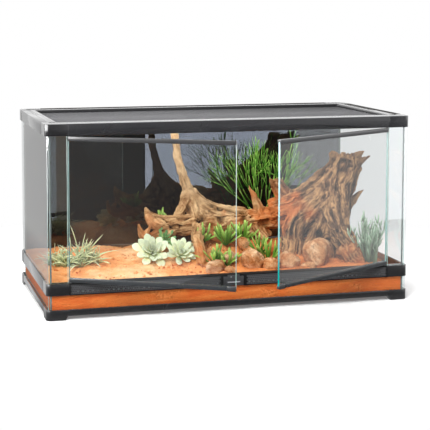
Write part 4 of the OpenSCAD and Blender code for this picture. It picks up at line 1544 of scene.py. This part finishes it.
@dataclass(frozen=True)
class Rosette:
    """One rosette: its middle and radius in millimetres, lean and turn in degrees, leaves and their shape."""

    middle: tuple[float, float, float]
    radius: float
    lean: float
    turn: float
    count: int
    narrow: float
    finish: Finish = Finish.ROSETTE


@dataclass
class Plants:
    """Moulded plants: rosettes, grassy tuft, twiggy bush, finger succulents and chalk sticks.

    Each blade is its heading, lean, length and bend; each clump is its x, y, z, number of leaves and their
    length. Lengths are in millimetres and angles in degrees.
    """

    ground: Callable[[float, float], float]
    rosettes_at: tuple[Rosette, ...] = (
        Rosette((-156, -34, 110), 51, 52, -12, 32, 0.42), Rosette((-90, -56, 106), 51, 48, 8, 30, 0.36),
        Rosette((-116, -6, 136), 34, 48, 0, 20, 0.28, Finish.ROSETTE_DARK))
    tall_blades: tuple[tuple[float, ...], ...] = (
        (170, 2, 100, 22), (12, 38, 96, 12), (350, 58, 108, 30), (200, 34, 78, 26), (60, 30, 86, 10),
        (330, 70, 92, 16))
    clumps: tuple[tuple[float, float, float, int, float], ...] = (
        (-26, -46, 146, 14, 46), (-16, -118, 104, 15, 48), (31, -48, 138, 16, 58), (9, -124, 98, 16, 56),
        (79, -38, 142, 16, 58), (112, -85, 114, 16, 54), (130, -100, 100, 16, 58), (-110, 60, 176, 18, 42))
    crowns: int = 30
    trunks: int = 12
    forks: int = 4
    first_share: float = 0.284
    shoot_mm: float = 1.3
    sticks: int = 34
    seed: int = 11

    def build(self) -> None:
        """Model every plant."""
        self.rosettes()
        self.tuft()
        self.bush()
        self.fingers()
        self.chalk_sticks()

    def grow(self, name: str, strands: Sequence[Strand], finish: Finish, slot: str, node: str,
             sides: int = 6) -> None:
        """Model a plant from its strands, paint it and hand it over.

        Args:
            name: The piece's name.
            strands: Its strands.
            finish: Its finish.
            slot: Its material slot.
            node: The CAD node that it replaces.
            sides: How many sides each strand has.
        """
        plant = sweep(name, strands, sides)
        paint(plant, finish)
        hand_over(plant, "tank", slot, node)

    def leaf(self, length: float, width: float, thick: float) -> bpy.types.Object:
        """Model a spoon-shaped leaf along +X, cupped and curling upwards.

        Args:
            length: Its length in millimetres.
            width: Its width in millimetres.
            thick: Its thickness in millimetres.

        Returns:
            The leaf, with how far out each point is in "out".
        """
        rings, sides, broad = 12, 12, 0.7
        t = np.linspace(0, 1, rings)
        half = np.where(t < broad, 0.34 + 0.66 * np.clip(t / broad, 0, 1) ** 1.2,
                        np.clip(1 - (np.clip(t - broad, 0, 1) / (1 - broad)) ** 2.1, 0.004, 1) ** 0.66)
        turn = around(sides)
        y = width / 2 * half[:, None] * np.cos(turn)
        body = thick / 2 * (0.55 + 0.45 * np.sqrt(np.clip(1 - t ** 3, 0, 1)))[:, None]
        z = (body * np.sin(turn) * np.sqrt(half)[:, None] + 0.10 * y ** 2 / width * 6
             + 0.16 * length * t[:, None] ** 2)
        x = np.repeat(length * t[:, None], sides, axis=1)
        points = np.stack([x, y, z], axis=2).reshape(-1, 3)
        return from_arrays("leaf", points * MM, tube_faces(rings, sides), {"out": np.repeat(t, sides)})

    def rosettes(self) -> None:
        """Model two mint rosettes and a smaller green one."""
        rng = random.Random(self.seed)
        made = []
        for index, plant in enumerate(self.rosettes_at):
            facing = (Matrix.Translation(Vector(plant.middle) * MM)
                      @ Matrix.Rotation(math.radians(plant.turn), 4, "Z")
                      @ Matrix.Rotation(math.radians(plant.lean), 4, "X"))
            places, shades = [], []
            for k in range(plant.count):
                share = (k + 0.6) / plant.count
                tilt = 80 - 74 * share ** 0.75 + rng.uniform(-8, 8)
                scale = (0.34 + 0.66 * share ** 0.6) * rng.uniform(0.88, 1.08)
                turn = math.radians(k * GOLDEN_TURN + rng.uniform(-8, 8))
                places.append(facing @ Matrix.Rotation(turn, 4, "Z")
                              @ Matrix.Rotation(-math.radians(tilt), 4, "Y") @ Matrix.Scale(scale, 4))
                # outer leaves lighter, inner ones darker: painted shade, with random variation
                shades.append(0.70 + 0.36 * share + rng.uniform(-0.14, 0.12))
            leaf = self.leaf(plant.radius, plant.radius * plant.narrow, plant.radius * 0.13)
            made.append(spread_copies(f"rosette_{index}", leaf, places, shades))
            paint(made[-1], plant.finish)
        hand_over(join("rosette_leaves", made), "tank", "rosette", "rosette_succulents")

    def tuft(self) -> None:
        """Model the grassy tuft: short arching blades from many crowns, and one tall blade."""
        rng = random.Random(self.seed + 1)
        strands = []
        for _ in range(self.crowns):
            spread = rng.uniform(0, 1) ** 0.6
            turn = rng.uniform(0, 2 * math.pi)
            x = -346 + 70 * spread * math.cos(turn)
            y = -8 + 42 * spread * math.sin(turn)
            foot = (x, y, self.ground(x, y) - 2)
            for _ in range(rng.randint(6, 8)):
                length = rng.uniform(34, 78) * (1.15 - 0.4 * spread)
                strands.append(Strand(
                    bend_path(foot, rng.uniform(0, 360), rng.uniform(0, 54), length, rng.uniform(10, 90),
                              10, rng.uniform(-90, 90)),
                    taper(10, rng.uniform(1.9, 2.8), 0.85, 0.3, 0.2), rng.uniform(0.62, 1.35), 0.5))
        foot = (-334, 4, self.ground(-334, 4) - 2)
        for blade in self.tall_blades:
            strands.append(Strand(bend_path(foot, *blade, 12),
                                  taper(12, 3.0, 0.9, 0.2, 0.1), 1.1, 0.5))
        self.grow("grass_blades", strands, Finish.GRASS, "grass", "grass_tuft")

    def bush(self) -> None:
        """Model the twiggy bush: shoots that fork again and again and fan out."""
        rng = random.Random(self.seed + 2)
        strands = []
        for index in range(self.trunks):
            aside = (index + rng.uniform(0.1, 0.9)) / (self.trunks / 2) - 1
            foot = (173 + 12 * aside + rng.uniform(-5, 5), 66 + rng.uniform(-10, 10), 146)
            reach = (198 + (26 if aside < 0 else 46) * abs(aside)) * rng.uniform(0.84, 1.04)
            heading = (0 if aside > 0 else 180) + rng.uniform(-34, 34)
            strands += self.twig(rng, foot, heading, 3 + 40 * abs(aside), reach * self.first_share,
                                 self.shoot_mm, rng.uniform(0.34, 0.88), self.forks)
        self.grow("bush_shoots", strands, Finish.BUSH, "shoots", "twig_bush")

    def twig(self, rng: random.Random, foot: Sequence[float], heading: float, lean: float, length: float,
             radius: float, shade: float, forks: int) -> list[Strand]:
        """Grow one shoot and the two that it forks into, and so on.

        Args:
            rng: Source of the random draws.
            foot: Where it starts, in millimetres.
            heading: Compass direction that it leans towards, in degrees from +X.
            lean: Lean from upright, in degrees.
            length: Its length in millimetres.
            radius: Its radius in millimetres.
            shade: Its brightness.
            forks: How often its tips still fork.

        Returns:
            The shoots.
        """
        path = bend_path(foot, heading, lean, length, rng.uniform(-20, 20), 7, rng.uniform(-34, 34))
        end = radius * (0.88 if forks else 0.45)
        strands = [Strand(path, np.linspace(radius, end, 7), shade)]
        if forks:
            for side in (-1, 1):
                # each fork is on average brighter than its parent: painted light on the outer shoots
                strands += self.twig(rng, path[-1], heading + side * rng.uniform(-14, 46),
                                     lean + side * rng.uniform(5, 19), length * rng.uniform(0.7, 0.98),
                                     radius * 0.87, shade * rng.uniform(0.9, 1.26), forks - 1)
        return strands

    def fingers(self) -> None:
        """Model clumps of finger-shaped leaves, thicker towards their tips."""
        rng = random.Random(self.seed + 3)
        strands = []
        for x, y, z, count, size in self.clumps:
            for k in range(count):
                heading = k * GOLDEN_TURN + rng.uniform(-20, 20)
                foot = (x + rng.uniform(-6, 6), y + rng.uniform(-5, 5), z - 14)
                length = size * rng.uniform(0.72, 1.15)
                strands.append(Strand(
                    bend_path(foot, heading, rng.uniform(8, 66), length, rng.uniform(-26, 10), 10),
                    taper(10, rng.uniform(3.0, 4.6), 0.42, 0.72, 0.34), rng.uniform(0.5, 1.2), 0.6))
        self.grow("finger_leaves", strands, Finish.FINGERS, "fingers", "finger_succulents", 8)

    def chalk_sticks(self) -> None:
        """Model the chalk-stick plant: upright slim leaves that lean outwards."""
        rng = random.Random(self.seed + 4)
        strands = []
        for _ in range(self.sticks):
            x, y = 384 + rng.uniform(-20, 14), -134 + rng.uniform(-21, 18)
            foot = (x, y, self.ground(x, y) - 3)
            heading = rng.uniform(0, 360)
            lean = rng.uniform(2, 38 if math.cos(math.radians(heading)) < 0 else 24)
            length = rng.uniform(70, 122)
            if math.sin(math.radians(heading)) < -0.4:  # stays behind the closed door
                lean *= 0.5
            stem = bend_path(foot, heading, lean, length, rng.uniform(-8, 16), 9)
            strands.append(Strand(stem, taper(9, 2.5, 0.8, 0.4, 0.2), rng.uniform(0.5, 1.15), 0.7))
            for _ in range(rng.randint(4, 6)):
                at = rng.randint(2, 7)
                strands.append(Strand(
                    bend_path(stem[at], rng.uniform(0, 360), rng.uniform(18, 46), rng.uniform(18, 34),
                              rng.uniform(-30, -8), 7),
                    taper(7, rng.uniform(1.9, 2.6), 0.7, 0.5, 0.2), rng.uniform(0.7, 1.3), 0.7))
        self.grow("chalk_stick_leaves", strands, Finish.CHALK, "chalk", "chalk_stick_plant")


# ---------------------------------------------------------------- studio

@dataclass(frozen=True)
class Lamp:
    """Rectangular soft lamp that neither the camera nor a reflection shows."""

    name: str
    place: tuple[float, float, float]
    target: tuple[float, float, float]
    width: float
    height: float
    watts: float

    def hang(self) -> None:
        """Add the lamp, turned towards its target."""
        data = bpy.data.lights.new(self.name, "AREA")
        data.shape, data.size, data.size_y, data.energy = "RECTANGLE", self.width, self.height, self.watts
        lamp = bpy.data.objects.new(self.name, data)
        lamp.location = self.place
        lamp.rotation_euler = (Vector(self.target) - Vector(self.place)).to_track_quat("-Z", "Y").to_euler()
        lamp.visible_camera = lamp.visible_glossy = False
        bpy.context.scene.collection.objects.link(lamp)


@dataclass(frozen=True)
class Panel:
    """Lit panel that only reflections show, with white as radiance 1.

    Its rows run from its lower to its upper edge: x and y of the left end, x and y of the right end, and z.
    The mirror-smooth glass shows a sharp panel; the satin plastic shows the others.
    """

    name: str
    radiance: float
    colour: str
    rows: tuple[tuple[float, float, float, float, float], ...]
    sharp: bool = True

    def wire(self, graph: Graph) -> Socket:
        """Wire the panel's material and return its shader."""
        shown = graph.remap(graph.ray("Singular"), low=float(not self.sharp), high=float(self.sharp))
        return graph.mix(shown, graph.add("BsdfTransparent"), graph.glow(self.radiance, self.colour))

    def stand(self) -> None:
        """Add the panel."""
        points = np.array(self.rows)[:, [0, 1, 4, 2, 3, 4]].reshape(-1, 3)
        faces = [(2 * i, 2 * i + 1, 2 * i + 3, 2 * i + 2) for i in range(len(self.rows) - 1)]
        panel = from_arrays(self.name, points, faces)
        panel.data.materials.append(new_material(f"studio_{self.name}", self.wire))
        panel.visible_camera = panel.visible_diffuse = panel.visible_shadow = False


# y of the far and the near edge, z of the lower and the upper edge of panels
FAR, NEAR, LOW, HIGH = -1.31, -0.46, 0.001, 0.52
PANELS = (
    Panel("panel", 3.75, "#e0eaff", ((0.231, FAR, 0.86, FAR, 0), (0.231, FAR, 0.86, FAR, HIGH))),
    Panel("panel_right", 3.0, "#eef2f8", ((0.86, FAR, 1.08, FAR, LOW), (0.86, FAR, 1.08, FAR, HIGH))),
    Panel("corner_cool", 2.1, "#dbe2ea", ((-0.278, NEAR, -0.250, NEAR, LOW), (-0.152, FAR, -0.118, FAR, LOW),
                                          (-0.152, FAR, -0.118, FAR, 0.7))),
    Panel("corner_warm", 1.25, "#e8dcd0", ((-0.250, NEAR, -0.217, NEAR, LOW), (-0.118, FAR, -0.078, FAR, LOW),
                                           (-0.118, FAR, -0.078, FAR, 0.7))),
    Panel("corner_glint", 26.0, WHITE, ((-0.293, FAR, -0.291, FAR, 0.165), (-0.293, FAR, -0.276, FAR, 0.33),
                                        (-0.293, FAR, -0.274, FAR, 0.45))),
    Panel("door_haze", 0.6, "#e8ecf4", ((-0.95, -0.42, -0.42, -0.42, LOW), (-1.3, -0.9, -0.5, -0.9, LOW))),
    Panel("side_panel", 6.0, WHITE, ((-2.0, -1.6, -2.0, 0.6, 0.22), (-2.0, -1.6, -2.0, 0.6, 1.22)), False))
LAMPS = (Lamp("key", (-1.5, -2.3, 1.75), (0, 0, 0.15), 1.2, 1.2, 105),
         Lamp("top", (-0.1, 0.0, 2.4), (0, 0, 0.2), 1.8, 1.2, 52))


@dataclass
class Studio:
    """White floor and surroundings, soft lamps, lit panels and the camera."""

    lens_mm: float = 108.05
    sensor_mm: float = 36.0
    camera_at: tuple[float, float, float] = (-0.8772, -3.1325, 0.7342)
    camera_yaw: float = 14.82
    camera_pitch: float = 5.62
    shift: tuple[float, float] = (0.058, -0.2)
    floor_size: float = 40.0
    floor_level: float = -0.0005
    fade: tuple[float, float] = (0.65, 1.15)

    def build(self) -> None:
        """Set up the whole stage."""
        self.camera()
        self.world()
        self.floor()
        for lamp in LAMPS:
            lamp.hang()
        for panel in PANELS:
            panel.stand()
        bpy.context.scene.view_settings.view_transform = "Standard"

    def camera(self) -> None:
        """Place the camera where the picture is taken from."""
        data = bpy.data.cameras.new("camera")
        data.lens, data.sensor_width = self.lens_mm, self.sensor_mm
        data.shift_x, data.shift_y = self.shift
        camera = bpy.data.objects.new("camera", data)
        camera.location = self.camera_at
        camera.rotation_euler = (math.radians(90 - self.camera_pitch), 0, math.radians(-self.camera_yaw))
        bpy.context.scene.collection.objects.link(camera)
        bpy.context.scene.camera = camera

    def outlook(self, graph: Graph, way: Socket, soft: Socket) -> Socket:
        """Return how bright the studio mirrors in a direction: dark straight in front, white behind.

        Args:
            graph: The tree to add to.
            way: The direction.
            soft: The brightness that satin plastic mirrors; glass mirrors the back's left part dimmer.

        Returns:
            The brightness.
        """
        level = graph.add("VectorMath", {0: way, 1: (1.0, 1.0, 0.0)}, operation="MULTIPLY")
        x, y, _ = graph.axes(graph.add("VectorMath", {0: level}, operation="NORMALIZE"))
        sharp = graph.math("MULTIPLY", graph.remap(y, -0.93, -0.35, 0.06), graph.remap(x, -0.25, 0.05, 0.57))
        return graph.remap(graph.ray("Singular"), low=soft, high=sharp)

    def world(self) -> None:
        """White for the camera, dimmer light all round, and the outlook for reflections."""
        world = bpy.data.worlds.new("studio")
        bpy.context.scene.world = world
        graph = Graph(world)
        way = graph.place("Generated")
        soft = graph.remap(graph.axes(way)[1], -1.0, -0.35, 0.12)
        mirrored = graph.glow(self.outlook(graph, way, soft), kind="Background")
        indirect = graph.mix(graph.ray("Glossy"), graph.glow(0.5, kind="Background"), mirrored)
        direct = graph.math("MAXIMUM", graph.ray("Camera"), graph.ray("Transmission"))
        seen = graph.glow(1.0, kind="Background")
        graph.node("OutputWorld", {"Surface": graph.mix(direct, indirect, seen)})

    def floor(self) -> None:
        """Lay a white floor that keeps the near shadow, fades to pure white and mirrors as the outlook,
        dimmed near the tank by a painted shadow.
        """
        floor = add_shape(bpy.ops.mesh.primitive_plane_add, "floor", size=self.floor_size,
                          location=(0, 0, self.floor_level))
        floor.data.materials.append(new_material("studio_paper_white", self.paper))

    def paper(self, graph: Graph) -> Socket:
        """Wire the floor's material and return its shader."""
        at = graph.place()
        x, y, _ = graph.axes(at)
        away = graph.remap(graph.add("VectorMath", {0: at}, "Value", operation="LENGTH"), *self.fade)
        white = graph.add("BsdfDiffuse", {"Color": "#f4f4f4"})
        near = graph.add("AddShader", {0: white, 1: graph.glow(0.16)})
        shown = graph.mix(away, near, graph.glow(1.0))
        soft = graph.math("ADD", graph.remap(y, -0.30, 0.05, high=0.64), graph.remap(x, 0.2, 2.4, 0.06, 0.33))
        # reflections see the floor dimmer beside and in front of the tank: painted shadow
        beside = graph.remap(graph.math("ABSOLUTE", x), 0.46, 0.58, 0.4)
        clear = graph.math("MAXIMUM", beside, graph.remap(y, -0.22, -0.26))
        dim = graph.remap(graph.ray("Singular"), low=1.0, high=clear)
        mirrored = graph.glow(graph.math("MULTIPLY", self.outlook(graph, at, soft), dim))
        bounce = graph.add("BsdfDiffuse", {"Color": "#c8c8c8"})
        return graph.mix(graph.ray("Camera"), graph.mix(graph.ray("Glossy"), bounce, mirrored), shown)


def main() -> None:
    """Build the terrarium's looks, sub-assembly by sub-assembly."""
    logging.basicConfig(level=logging.INFO, format="%(name)s: %(message)s")
    Studio().build()
    Frames().build()
    panes = Panes()
    panes.build()
    Door(Side.LEFT, Finish.EDGE_PALE).build(panes)
    Door(Side.RIGHT, Finish.EDGE_DEEP).build(panes)
    Lock().build()
    Cover().build()
    bed = SandBed()
    bed.build()
    stump().build()
    branch().build()
    Rocks().build()
    Plants(bed.height).build()


if __name__ == "__main__":
    main()
